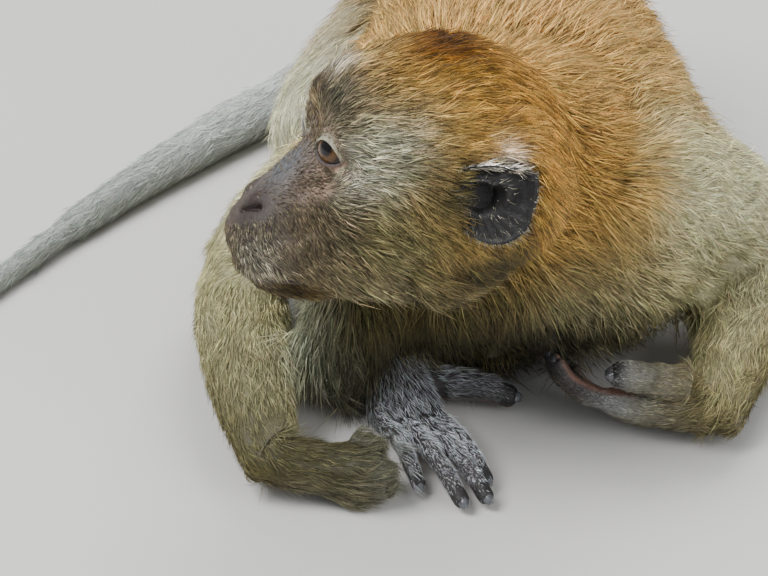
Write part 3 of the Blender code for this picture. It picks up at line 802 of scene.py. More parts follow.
def make_skin_mesh():
    """The skin: the body's shell joined with the paws and the ears, with the face pressed into it."""
    skin = object_from("skin", body_shell())
    added = [object_from(name, paw_shell(name)) for name in EXTREMITIES]
    added += [object_from("ear", ear_shell(side)) for side in SIDES]
    for part in added:
        union = skin.modifiers.new("join", "BOOLEAN")
        union.operation = "UNION"
        union.solver = "MANIFOLD"
        union.object = part
    mesh = applied(skin)
    for part in added:
        old = part.data
        bpy.data.objects.remove(part)
        bpy.data.meshes.remove(old)
    mesh = reworked(mesh, cut_to_triangles)
    mesh.polygons.foreach_set("use_smooth", np.ones(len(mesh.polygons), bool))
    mesh = refined_face(mesh)
    points, edges = places_of(mesh), edges_of(mesh)
    wrists = sum(hill(lengths(points - PAWS[name]["start"]), 0.0, 1.7 * HEAD_UNIT)
                 for name in EXTREMITIES)
    points = spread(points, edges, 30, 0.5 * ease(0.1, 0.5, wrists))
    points = shape_eyes(shape_face(points, normals_of(put(mesh, points))))
    points[:, 2] = np.maximum(points[:, 2], FLOOR_GAP)
    return put(mesh, points)


# How far from the eyes' middles, their rims in degrees, the nostrils and the lips each cut reaches.
FACE_CUTS = ((2.1, 60, 0.7, 0.55), (1.6, 30, 0.35, 0.22), (1.25, 7, 0.0, 0.0))


def refined_face(mesh):
    """The skin with smaller triangles round the eyes, nostrils and lips, smoothed where it was cut."""
    for eye_reach, rim_reach, slit_reach, lip_reach in FACE_CUTS:
        points = places_of(mesh)
        a, l, b = head_coordinates(points)
        chosen = (to_slit(a, np.abs(l), b) < slit_reach)
        chosen |= (np.abs(b - mouth_height(a)) < lip_reach) & (a > 0.7) & (a < 4.0) & (np.abs(l) < 3)
        for side in SIDES:
            reach, outside, _, facing = round_eye(points, side)
            chosen |= (reach < eye_reach) & (np.abs(outside) < rim_reach) & (facing > 0)
        mesh = finer(mesh, chosen)
        points, edges = places_of(mesh), edges_of(mesh)
        a, l, b = head_coordinates(points)
        face = (a > -2.0) & (a < 4.0) & (np.abs(l) < 4) & (b < 2.5) & (b > -6.0)
        put(mesh, spread(points, edges, 2, 0.5 * face))
    return mesh


# ------------------------------------------------------------------ markings and the coat's lie
def shade(red, green, blue):
    """A colour as the eye reads it turned into the linear one that shaders take."""
    c = np.array([red, green, blue], float)
    return np.where(c <= 0.04045, c / 12.92, ((c + 0.055) / 1.055) ** 2.4)


# Coat colours and painted shade over the head: (forward, outward, up, reach, colour), later ones over
# earlier.
HEAD_COAT_AND_SHADE = [
    (-4.5, 0.0, 3.2, 3.4, (0.50, 0.36, 0.075)), (-2.6, 0.0, 3.3, 1.3, (0.70, 0.56, 0.33)),
    (-6.4, 0.0, 2.7, 2.2, (0.72, 0.56, 0.32)), (-7.5, 2.0, 0.5, 3.0, (0.76, 0.57, 0.25)),
    (-1.6, 0.0, 3.0, 1.6, (0.76, 0.64, 0.40)), (-2.0, 3.4, 1.4, 1.5, (0.66, 0.53, 0.27)),
    (-1.2, 3.3, 0.2, 1.4, (0.69, 0.68, 0.58)), (-1.2, 3.9, -2.6, 1.9, (0.52, 0.49, 0.32)),
    # The second entry here is painted shade under the jaw, where the head shades the neck.
    (-1.4, 2.6, -5.0, 2.0, (0.58, 0.54, 0.40)), (-3.6, 3.4, -4.8, 1.8, (0.33, 0.30, 0.16)),
    (-3.2, 4.1, -0.9, 1.1, (0.38, 0.345, 0.22)), (-4.9, 4.2, 0.02, 0.48, (0.95, 0.93, 0.88)),
    (-3.6, 0.9, 3.2, 1.60, (0.54, 0.38, 0.10)), (-3.6, 0.8, 3.3, 1.0, (0.56, 0.34, 0.05)),
    (-3.6, 0.8, 3.3, 0.70, (0.24, 0.15, 0.03)), (-3.5, 0.5, -5.8, 1.7, (0.52, 0.49, 0.38)),
    (0.2, 1.6, 1.9, 1.0, (0.38, 0.37, 0.31)), (1.2, 1.4, -1.2, 1.7, (0.35, 0.315, 0.27)),
    (0.4, 0.4, 1.6, 0.60, (0.15, 0.13, 0.11)), (-0.3, 0.2, 2.6, 0.55, (0.84, 0.83, 0.78)),
    (0.6, 2.4, -2.2, 1.3, (0.41, 0.37, 0.28)), (2.6, 1.4, -3.35, 1.0, (0.52, 0.50, 0.43)),
    (1.5, 1.6, -4.9, 0.9, (0.36, 0.30, 0.16)), (2.6, 0.0, -5.0, 0.8, (0.31, 0.25, 0.12)),
    # The second entry here is painted shade under the ear.
    (-0.5, 3.0, -0.5, 0.7, (0.70, 0.68, 0.60)), (-4.9, 3.2, -3.9, 2.0, (0.34, 0.30, 0.155)),
    (2.3, 1.2, -3.55, 0.5, (0.66, 0.63, 0.55)), (1.6, 1.4, -4.6, 0.5, (0.29, 0.24, 0.14)),
]
# Skin colours over the face, in the same way.
FACE_SKIN = [
    # The second entry is the nose bridge's blue-grey: the skin's own tone with a painted highlight.
    (2.2, 0.8, -2.9, 2.2, (0.22, 0.19, 0.17)), (1.2, 0.0, -0.6, 1.2, (0.35, 0.36, 0.375)),
    (0.3, 2.3, -1.1, 1.0, (0.44, 0.37, 0.33)), (0.2, 2.3, -0.75, 0.55, (0.62, 0.50, 0.42)),
    (2.40, 0.8, -1.70, 0.60, (0.18, 0.135, 0.12)), (0.2, 0.9, 1.2, 0.60, (0.33, 0.30, 0.26)),
    (1.8, 1.2, -5.0, 0.8, (0.23, 0.18, 0.11)), (3.2, 0.2, -2.5, 0.45, (0.30, 0.25, 0.225)),
]
# Where the coat's hairs lead on the head: (forward, outward, up) and the same three for the way.
HEAD_LIE = [
    ((-2.0, 0.0, 3.1), (-1.0, 0.0, 0.1)), ((-4.0, 0.0, 3.3), (-1.0, 0.0, 0.0)),
    ((-6.5, 0.0, 2.5), (-1.0, 0.0, -0.15)), ((-8.0, 0.0, 0.0), (-1.0, 0.0, -0.4)),
    ((0.1, 0.8, 2.0), (-0.05, 0.2, 1.0)), ((-0.6, 2.5, 2.2), (-1.0, 0.4, 0.4)),
    ((-0.5, 3.2, 0.8), (-1.0, 0.4, 0.25)), ((-2.5, 3.8, 0.8), (-1.0, 0.1, -0.1)),
    ((-0.6, 3.3, -0.4), (-1.0, 0.2, -0.15)), ((-1.2, 3.8, -2.2), (-0.9, 0.1, -0.5)),
    ((-2.6, 4.2, -2.0), (-0.8, 0.1, -0.7)), ((-3.2, 4.0, -3.8), (-0.3, 0.0, -1.0)),
    ((-1.2, 2.6, -5.0), (-0.55, 0.1, -0.9)), ((-4.4, 3.2, -4.5), (-0.45, 0.0, -1.0)),
    ((1.2, 0.3, -0.8), (-0.6, 0.5, 0.4)), ((2.0, 1.7, -3.0), (-0.45, 0.25, -0.9)),
    ((1.0, 2.2, -3.4), (-0.8, 0.2, -0.55)), ((2.6, 0.4, -5.0), (-0.4, 0.0, -1.0)),
    ((0.6, 2.4, -1.2), (-0.75, 0.5, -0.4)), ((-3.6, 4.2, -0.6), (-1.0, 0.45, 0.25)),
    ((-4.5, 4.2, 0.5), (-1.0, 0.25, -0.05)), ((-6.4, 3.6, -1.0), (-0.8, 0.0, -0.6)),
    ((-5.0, 3.6, -3.4), (-0.4, 0.0, -1.0)), ((-8.0, 1.5, -1.0), (-0.9, 0.3, -0.5)),
    ((-3.0, 0.0, -5.9), (-0.6, 0.0, -0.8)), ((3.0, 0.5, -2.6), (-0.3, 0.5, -0.8)),
    ((-3.0, 2.2, -5.6), (-0.45, 0.1, -1.0)), ((-6.0, 3.0, -3.6), (-0.7, 0.1, -0.8)),
]
LIE_REACH = 1.3          # how far each entry of HEAD_LIE holds, head units
TRUNK_MIDDLE = middle_of("trunk")
TRUNK_HALF = np.array(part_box("trunk")[1]) - TRUNK_MIDDLE


def on_ears(points):
    """1 on an ear's own skin and 0 elsewhere."""
    found = np.zeros(len(points))
    a, l, b = head_coordinates(points)
    for side in SIDES:
        middle, out, back = ear_frame(side)
        away = (points - middle) / HEAD_UNIT
        radius = np.hypot(away @ back / EAR_HALF[0], away @ UP / EAR_HALF[1])
        proud = l * SIDES[side] - (4.22 - 0.10 * np.abs(b + 1.3))
        close = np.abs(away @ out) < 1.15
        found = np.maximum(found, ease(0.0, 0.14, proud) * (radius < 1.35) * (a > -6.9) * close)
        found = np.maximum(found, (radius < 0.93) * (np.abs(away @ out) < 1.6) * ease(-0.5, -0.3, proud))
    return found


def painted(points, table, start):
    """Colours over the head: each entry mixed in by exp of minus its squared distance over its reach."""
    a, l, b = head_coordinates(points)
    m = np.abs(l)
    colour = np.zeros((len(points), 3)) + start
    for forward, outward, up, reach, tone in table:
        share = np.exp(-((a - forward) ** 2 + (m - outward) ** 2 + (b - up) ** 2) / reach ** 2)
        colour = colour + np.minimum(1.0, 1.25 * share)[:, None] * (shade(*tone) - colour)
    return colour


def base_tone(points):
    """The head's tone before its markings: golden behind, turning grey-brown towards the face."""
    share = ease(-2.6, -0.6, head_coordinates(points)[0])[:, None]
    return GOLD * (1 - share) + shade(0.47, 0.42, 0.33) * share


def head_lie(points):
    """The way the head's hairs lead: the entries of HEAD_LIE weighted by nearness."""
    a, l, b = head_coordinates(points)
    spots = np.array([spot for spot, _ in HEAD_LIE])
    ways = np.array([way for _, way in HEAD_LIE])
    here = np.stack([a, np.abs(l), b], 1)
    gap = ((here[:, None] - spots[None]) ** 2).sum(2)
    share = np.exp(-gap / LIE_REACH ** 2) + 1e-4 / (1 + gap)
    way = share @ ways / share.sum(1, keepdims=True)
    return mixed((way[:, 0], FORWARD), (np.sign(l) * way[:, 1], LEFT), (way[:, 2], UP))


def trunk_lie(points, normals):
    """The way the trunk's hairs lead: away from the head, then back along the top and down the sides."""
    aside = (points[:, 0] - TRUNK_MIDDLE[0]) / TRUNK_HALF[0]
    away = points - middle_of("head")
    near = 1 - ease(0.085, 0.170, lengths(away))
    facing = np.clip(-normals[:, 1], 0, 1)
    back = np.stack([0.55 * aside, 1.0 - 0.7 * facing, -0.10 - 0.75 * np.abs(aside) - 0.5 * facing], 1)
    out = unit(away) + np.array([0.0, 0.0, -0.25])
    return unit(back) * (1 - near)[:, None] + out * near[:, None]


# ------------------------------------------------------------------ what is true of each vertex of the skin
def on_part(s, part):
    """Which vertices are on nodes whose names start with one of the words in part."""
    return np.array([name.startswith(tuple(part.split())) for name in SKIN_SOURCE])[s.owners]


def coat_fields(mesh):
    """Everything the coat and the skin's colours need, for each vertex of the skin, by name."""
    s = SimpleNamespace(points=places_of(mesh), normals=normals_of(mesh), edges=edges_of(mesh))
    s.owners = owners_of(s.points)
    s.names = np.array(SKIN_SOURCE)[s.owners]
    s.head, s.trunk, s.body, s.legs, s.paws = (on_part(s, part) for part in (
        "head eye", "trunk", "trunk neck", "thigh shin", "hand foot"))
    s.forward, s.left, s.up = head_coordinates(s.points)
    s.rim = rim_angle(s.points)
    s.ears = on_ears(s.points)
    hair_sizes(s)
    hair_lie(s)
    coat_colours(s)
    bare_places(s)
    skin_colours(s)
    ears_in_detail(s)
    hair_density(s)
    return s


def hair_sizes(s):
    """The hair's length and depth, how strongly hairs differ in tone, and a factor on their width."""
    x, y, z = s.points.T
    s.strength = spread(by_node(s.owners, "strength"), s.edges, 10)
    s.width = spread(by_node(s.owners, "width"), s.edges, 10)
    head_length, head_depth = head_fields(s.points)
    length = np.where(s.head, head_length, by_node(s.owners, "length"))
    depth = np.where(s.head, head_depth, by_node(s.owners, "depth"))
    chest = s.trunk * ease(0.0, -0.06, y) * ease(0.075, 0.045, z)
    length, s.strength = length + 0.004 * chest, s.strength - 0.3 * chest
    fist = s.names == "hand_right"
    length, depth = np.where(fist, 0.0095, length), np.where(fist, 0.0020, depth)
    length, depth = spread(length, s.edges, 14), spread(depth, s.edges, 14)
    fine = np.isin(s.names, ["foot_left", "foot_right"]) | ((s.names == "hand_left") & (x < 0.112))
    length = np.where(fine, np.minimum(length, 0.0068), length)
    for name in ("foot_left", "foot_right", "hand_left"):
        tips = np.array([joints[-1] for joints, _, _ in digits_of(name)])
        mine = np.flatnonzero(s.names == name)
        gap = lengths(s.points[mine][:, None] - tips[None]).min(1) / HEAD_UNIT
        away = ease(0.8, 3.2, gap)
        length[mine] *= 0.34 + 0.66 * away
        depth[mine] *= 0.50 + 0.50 * away
        s.strength[mine] *= 0.55 + 0.45 * away
    s.length, s.depth = length, depth


def hair_lie(s):
    """The way the hair leads over the skin, how the skin bends along it, and the paws' bare side."""
    lie, s.inside = np.zeros_like(s.points), np.zeros_like(s.points)
    lie[s.head] = head_lie(s.points[s.head])
    lie[s.body] = trunk_lie(s.points[s.body], s.normals[s.body])
    for name, heading in HEADINGS.items():
        lie[s.names == name] = unit(np.array(heading))
    for name in EXTREMITIES:
        mine = s.names == name
        lie[mine], s.inside[mine] = along_digits(name, s.points[mine])
    lie[s.names == "hand_right"] = PAWS["hand_right"]["along"]
    tails = [name for name in SKIN_SOURCE if name.startswith("tail")]
    ways = unit(np.gradient(np.array([middle_of(name) for name in tails]), axis=0))
    for name, way in zip(tails, ways):
        lie[s.names == name] = way
    lie = spread(unit(lie), s.edges, 24)
    twist = 0.22 * ripple(s.points, 0.028, 11) + 0.13 * ripple(s.points, 0.010, 12)
    twist *= np.where(s.paws, 0.4, 1.0)
    lie = unit(lie - (lie * s.normals).sum(1, keepdims=True) * s.normals)
    s.lie = unit(lie + twist[:, None] * np.cross(s.normals, lie))
    bend = curvature(s.points, s.normals, s.edges, s.lie) * np.where(on_part(s, "forearm"), 0.6, 0.8)
    a, b = s.forward, s.up
    hanging = s.head * np.maximum(ease(-2.4, -3.6, b) * ease(0.9, -0.5, a), ease(-4.7, -5.1, b))
    s.bend = bend * (1 - 0.92 * spread(hanging, s.edges, 10))


def layered(colour, layers):
    """The colours with each (tone, share) laid over them in turn. A plain number dims what is there."""
    for tone, share in layers:
        tone = tone * colour if np.isscalar(tone) else tone
        colour = colour + np.clip(share, 0, 1)[:, None] * (tone - colour)
    return colour


GOLD, ORANGE, OLIVE, CREAM, PALE, SILVER, BROWN, YELLOW = (shade(*tone) for tone in (
    (0.83, 0.66, 0.345), (0.88, 0.72, 0.44), (0.54, 0.50, 0.30), (0.90, 0.87, 0.67),
    (0.80, 0.79, 0.69), (0.88, 0.90, 0.92), (0.66, 0.52, 0.29), (0.78, 0.74, 0.53)))
# The coat's markings and painted shade, laid over gold in this order: the nodes they are on, the tone
# or a factor on what is there, the most they cover, and the measures they come in over, from none to
# all. Of the measures, top and inward are shares of the normal, finger is the way in metres to a
# fingertip of the left hand, and up, forward and toes are in head units, toes from the right heel.
MARKINGS_AND_SHADE = (
    ("trunk neck", ORANGE, 1.0, ("z", 0.11, 0.14)),
    ("trunk neck", BROWN, 0.8, ("y", 0.0, 0.14)),
    ("trunk neck", OLIVE, 1.0, ("z", 0.095, 0.060)),
    # Painted shade on the low chest and belly, under the head and arms.
    ("trunk neck", OLIVE * 0.42, 1.0, ("z", 0.075, 0.045), ("y", 0.02, -0.04), ("x", 0.100, 0.075)),
    # Painted shade on the throat under the jaw.
    ("trunk neck", OLIVE * 0.42, 1.0, ("up", -3.9, -5.4), ("forward", -12.5, -9.2)),
    ("trunk neck", CREAM, 1.0, ("x", 0.08, 0.12), ("z", 0.078, 0.055), ("y", 0.06, -0.02)),
    ("trunk", shade(0.82, 0.84, 0.74), 1.0, ("x", 0.018, -0.012), ("z", 0.09, 0.06), ("y", 0.0, -0.05)),
    # Painted shade where the left hand's fingers meet the belly.
    ("trunk", shade(0.2, 0.18, 0.12), 1.0, ("finger", 0.028, 0.016)),
    ("trunk", PALE * 0.6, 1.0, ("top", -0.45, -0.9), ("y", -0.03, 0.03)),
    ("upper_arm", YELLOW, 1.0),
    ("upper_arm", shade(0.98, 0.97, 0.80), 0.9, ("z", 0.030, 0.065)),
    ("upper_arm", shade(0.80, 0.66, 0.36), 1.0, ("x", 0.0, 1e-6), ("x", 0.137, 0.112),
     ("z", 0.045, 0.075)),
    ("forearm", YELLOW * 0.85, 1.0),
    ("forearm_right", shade(0.43, 0.41, 0.27), 1.0),
    ("forearm_right", CREAM * 0.85, 1.0, ("y", -0.118, -0.080)),
    ("forearm_left", shade(0.44, 0.41, 0.28), 1.0, ("y", -0.105, -0.135)),
    ("forearm", CREAM, 1.0, ("y", -0.115, -0.06), ("z", 0.015, 0.03), ("x", 0.170, 0.150),
     ("x", 0.0, 0.04)),
    ("forearm_left", shade(1.0, 1.0, 0.88), 1.0, ("z", 0.030, 0.045), ("y", -0.125, -0.105)),
    # Painted shade on the forearms' low side, near the floor.
    ("forearm", shade(0.44, 0.40, 0.26), 1.0, ("z", 0.024, 0.010)),
    ("forearm", CREAM, 0.4, ("inward", 0.1, 0.7)),
    ("thigh shin", shade(0.94, 0.93, 0.80), 1.0),
    ("thigh shin", BROWN, 0.85, ("y", 0.06, 0.14), ("top", -0.1, 0.7)),
    ("hand foot", SILVER, 1.0),
    ("hand_right", shade(0.48, 0.48, 0.42), 1.0),
    ("hand_right", shade(0.38, 0.365, 0.25), 1.0, ("x", 0.035, 0.005)),
    ("hand_left", shade(0.63, 0.62, 0.55), 1.0, ("x", 0.102, 0.122)),
    ("hand_left", shade(0.57, 0.53, 0.38), 1.0, ("x", 0.120, 0.138)),
    ("hand_left", shade(0.40, 0.375, 0.34), 1.0, ("x", 0.114, 0.096)),
    # Painted shade on the paws' undersides.
    ("hand foot", shade(0.52, 0.50, 0.42), 0.7, ("top", 0.1, -0.7)),
    # Painted shade on the feet's sides and between the toes.
    ("foot", 0.40, 0.8, ("top", 0.55, 0.05)),
    # Painted shadow of the head and chin over the back of the right foot.
    ("foot_right", 0.30, 0.85, ("toes", 8.0, 6.4)),
    ("tail", shade(0.93, 0.95, 0.93), 1.0),
    ("tail", shade(0.76, 0.79, 0.76), 1.0, ("forward", -1.0, 5.0)),
    # Painted shade on the tail's underside.
    ("tail", shade(0.56, 0.54, 0.47), 0.5, ("top", 0.2, -0.5)),
)


def coat_colours(s):
    """The coat's colours: markings and painted shade laid over gold, softened, and the head's own markings
    and painted shade.
    """
    left_tip = digits_of("hand_left")[1][0][-1]
    heel, ahead = plan_of("foot_right")[:2]
    inward = np.where(np.char.endswith(s.names, "left"), -s.normals[:, 0], s.normals[:, 0])
    measures = dict(zip("xyz", s.points.T), top=s.normals[:, 2], forward=s.forward, up=s.up,
                    inward=inward, finger=lengths(s.points - left_tip),
                    toes=(s.points - heel) @ ahead / HEAD_UNIT)
    coat = np.tile(GOLD, (len(s.points), 1))
    for part, tone, most, *ramps in MARKINGS_AND_SHADE:
        share = on_part(s, part) * 1.0
        for key, low, high in ramps:
            share = share * ease(low, high, measures[key])
        coat = layered(coat, [(tone, share * most)])
    own = painted(s.points[s.head], HEAD_COAT_AND_SHADE, base_tone(s.points[s.head]))
    coat[s.head] = own
    coat = spread(coat, s.edges, 30)
    sharp = ease(-6.5, -5.2, s.forward[s.head])[:, None]
    coat[s.head] = coat[s.head] * (1 - sharp) + sharp * own
    s.coat = coat


def bare_places(s):
    """Shares of each vertex that are lips, nostrils, bridge, pads or tips, and bare of hair at all."""
    a, l, b = s.forward, s.left, s.up
    s.slit = to_slit(a, np.abs(l), b)
    s.gap = np.abs(b - mouth_height(a))
    s.front = s.head & (a > -1.4)
    s.lips = s.front * ease(1.1, 1.5, a) * (1 - ease(0.05, 0.15, s.gap))
    s.bridge = (s.front * (1 - ease(0.7, 1.7, np.abs(l))) * ease(1.1, 0.6, b) * ease(0.2, 0.6, a)
                * ease(-2.6, -1.9, b))
    lids = s.front * (1 - ease(3.5, 9.0, s.rim))
    tip_of_nose = hill(a, 3.2, 0.5) * hill(l, 0, 0.8) * hill(b, -2.1, 0.45) * (a > 2.2)
    nose = s.front * np.maximum(1 - ease(0.30, 0.55, s.slit), tip_of_nose)
    s.pads, s.tips = np.zeros(len(a)), np.zeros(len(a))
    for name in ("hand_left", "foot_left", "foot_right"):
        start, along = plan_of(name)[:2]
        mine = s.names == name
        reach = (s.points - start) @ along / HEAD_UNIT
        turned = (s.normals * s.inside).sum(1)
        s.pads = np.maximum(s.pads, mine * ease(0.35, 0.80, turned) * ease(0.0, 1.0, reach))
        for joints, _, _ in digits_of(name):
            end = joints[-1] * 0.75 + joints[-2] * 0.25
            away = lengths(s.points - end) / HEAD_UNIT
            s.tips = np.maximum(s.tips, mine * (1 - ease(0.42, 0.78, away)))
    s.bare = np.clip(np.maximum.reduce([lids, s.lips, nose, s.pads, 0.9 * s.tips, s.ears]), 0, 1)


def skin_colours(s):
    """The skin's colours: the coat's, darkened as painted shade under hair, and the face's, paws' and ears'
    own, with painted shade in the mouth's line and the nostrils.
    """
    a, b, head = s.forward, s.up, s.head
    # Under hair the skin takes the coat's colour darkened, as painted shade in the gaps between the hairs.
    skin = s.coat * (0.42 + 0.20 * (1 - s.strength))[:, None]
    face = painted(s.points[head], FACE_SKIN, shade(0.50, 0.43, 0.37))
    short = 1 - ease(0.0035, 0.0075, s.length[head])
    skin[head] = skin[head] + (short * ease(-2.2, -0.6, a[head]))[:, None] * (face - skin[head])
    under_fur = (s.names == "hand_right") + (s.names == "hand_left") * ease(0.098, 0.118, s.points[:, 0])
    s.skin = layered(skin, [
        (shade(0.64, 0.64, 0.55), 0.75 * s.front * (1 - ease(5.0, 24.0, s.rim)) * ease(-0.2, 0.3, b)),
        (shade(0.42, 0.40, 0.42), 0.8 * s.front * (1 - ease(2.0, 6.0, s.rim)) * ease(0.15, -0.2, b)),
        (shade(0.20, 0.16, 0.15), s.front * (1 - ease(0.5, 2.0, s.rim))),
        (shade(0.23, 0.185, 0.165), s.lips),
        # Painted shade in the line between the lips.
        (shade(0.05, 0.04, 0.04), s.front * hill(s.gap, 0.0, 0.05) * ease(1.0, 1.3, a)),
        # Painted shade in the nostrils' slits.
        (shade(0.06, 0.04, 0.04), s.front * (1 - ease(0.03, 0.15, s.slit))),
        (shade(0.22, 0.205, 0.205), s.paws * 1.0),
        # Painted shade: the hands' skin under their fur is the coat's colour halved.
        (s.coat * 0.5, 0.8 * under_fur),
        (shade(0.46, 0.35, 0.31), s.pads),
        (shade(0.15, 0.14, 0.14), s.tips * (1 - 0.7 * s.pads)),
        (shade(0.10, 0.092, 0.092), s.ears),
    ])


def ears_in_detail(s):
    """The painted shade in each ear's hole, and the short hairs that lead outwards from it."""
    for side in SIDES:
        middle, out, back = ear_frame(side)
        away = (s.points - middle) / HEAD_UNIT
        proud = away @ out
        hole = hill(away @ back, -0.55, 0.42) * hill(away @ UP, 0.10, 0.50) * ease(0.0, -0.35, proud)
        # Painted shade deep in the ear's hole.
        s.skin = layered(s.skin, [(shade(0.035, 0.028, 0.028),
                                   1.3 * s.ears * hole * (np.abs(proud) < 2))])
        rays = away - proud[:, None] * out + 0.55 * back - 0.10 * UP
        mine = (s.ears > 0.3) & (np.abs(proud) < 2) & (s.up < -0.2)
        s.lie = np.where(mine[:, None], unit(rays), s.lie)
    s.skin = spread(s.skin, s.edges, 1)


def hair_density(s):
    """How thickly tufts are rooted: thinner where the skin shows, and the ears' sparse hair and brush."""
    density = 1.0 - s.bare
    density *= 1 - 0.82 * np.clip(s.bridge, 0, 1)
    density *= 1 - 0.35 * s.front * ease(0.8, 2.4, s.forward)
    brush = hill(s.up, 0.02, 0.16) * (s.forward > -5.7)
    on_ear = s.ears > 0.05
    density = np.where(on_ear, 0.030 + 0.40 * brush, density)
    s.length = np.where(on_ear, 0.0034 + 0.003 * brush, s.length)
    s.depth = np.where(on_ear, 0.0006 + 0.0006 * brush, s.depth)
    s.coat = layered(s.coat, [(shade(0.50, 0.49, 0.43), s.ears * (1 - brush)),
                              (shade(0.95, 0.93, 0.88), s.ears * brush)])
    for factor, where in ((0.25, s.names == "foot_left"), (0.6, s.legs), (1.6, s.names == "hand_right"),
                          (1.5, s.names == "hand_left"), (0.15, s.points[:, 2] < 0.0015)):
        density *= np.where(where, factor, 1.0)
    s.density = density / (0.003 + s.length)


LEAST_BEND, MOST_BEND = -25.0, 140.0     # per metre


def curvature(points, normals, edges, lie):
    """How fast the skin turns along the coat's lie at each vertex, per metre, smoothed."""
    i, j = edges.T
    along = points[j] - points[i]
    reach = np.maximum(lengths(along), 1e-7)
    turn = ((normals[j] - normals[i]) * along).sum(1) / reach ** 2
    total, count = np.zeros(len(points)), np.full(len(points), 1e-6)
    for end in (i, j):
        share = ((along / reach[:, None]) * lie[end]).sum(1) ** 4
        total += np.bincount(end, share * turn, len(points))
        count += np.bincount(end, share, len(points))
    return np.clip(spread(total / count, edges, 16), LEAST_BEND, MOST_BEND)


# ------------------------------------------------------------------ the coat
# Each coat piece's share of the tufts that one piece may have.
COAT_PIECES = {"coat_face": 1.0, "coat_crown": 1.0, "coat_jaw": 0.80, "coat_mantle": 1.0,
               "coat_chest": 0.54, "coat_back": 1.0, "coat_arms": 1.0, "coat_legs_and_tail": 0.52,
               "coat_paws": 0.76}


def growing(s):
    """For each coat piece, which of the skin's vertices it grows from."""
    y, z = s.points[:, 1], s.points[:, 2]
    low = s.trunk & ((s.normals[:, 2] < -0.35) | (z < 0.040))
    face = s.forward > -2.0
    jaw = s.head & ~face & (s.up < -2.0)
    return {"coat_face": s.head & face, "coat_crown": s.head & ~face & ~jaw, "coat_jaw": jaw,
            "coat_mantle": (s.trunk & ~low & (y < 0.02)) | on_part(s, "neck"), "coat_chest": low,
            "coat_back": s.trunk & ~low & (y >= 0.02), "coat_arms": on_part(s, "upper_arm forearm"),
            "coat_legs_and_tail": on_part(s, "thigh shin tail"), "coat_paws": s.paws}


# A tuft's six triangles over its point in the skin, its ring and its tip.
TUFT_FACES = np.array([[0, 2, 1], [0, 3, 2], [0, 1, 3], [1, 2, 4], [2, 3, 4], [3, 1, 4]])
RING_AT = 0.38       # the ring's place along the tuft
ROOT_DEPTH = 0.0005  # how far under the skin a tuft's root is, metres
WILD, DARK = 0.04, 0.27      # shares of the tufts that stand off more, and that have dark tips
PATCH = 0.003        # how wide a tuft's patch is on its flat map


def patch_corners():
    """Where each corner of a tuft's triangles lies on its patch: the tuft's sides laid out flat."""
    lower = [[((k + 0.5) / 3, 0.0), ((k + 1) / 3, 0.45), (k / 3, 0.45)] for k in range(3)]
    upper = [[(k / 3, 0.45), ((k + 1) / 3, 0.45), ((k + 0.5) / 3, 1.0)] for k in range(3)]
    return (np.array(lower + upper) - 0.5).reshape(-1, 2)


def unwrapped(points, owners):
    """Each place on a turned unwrap of its node: angle about the node's long axis, and place along it."""
    flat = np.zeros((len(points), 2))
    present = np.unique(owners)
    for column, owner in enumerate(present):
        mine = owners == owner
        samples = SAMPLES[OWNERS == owner]
        middle = samples.mean(0)
        axes = np.linalg.svd(samples - middle, full_matrices=False)[2]
        along, p, q = axes @ (points[mine] - middle).T
        reach = np.abs((samples - middle) @ axes[0]).max() * 1.1
        around = (np.arctan2(q, p) / (2 * math.pi) + 0.5) * 0.94 + 0.03
        flat[mine, 0] = (column + around) / len(present)
        flat[mine, 1] = 0.5 + 0.47 * np.clip(along / reach, -1, 1)
    return flat


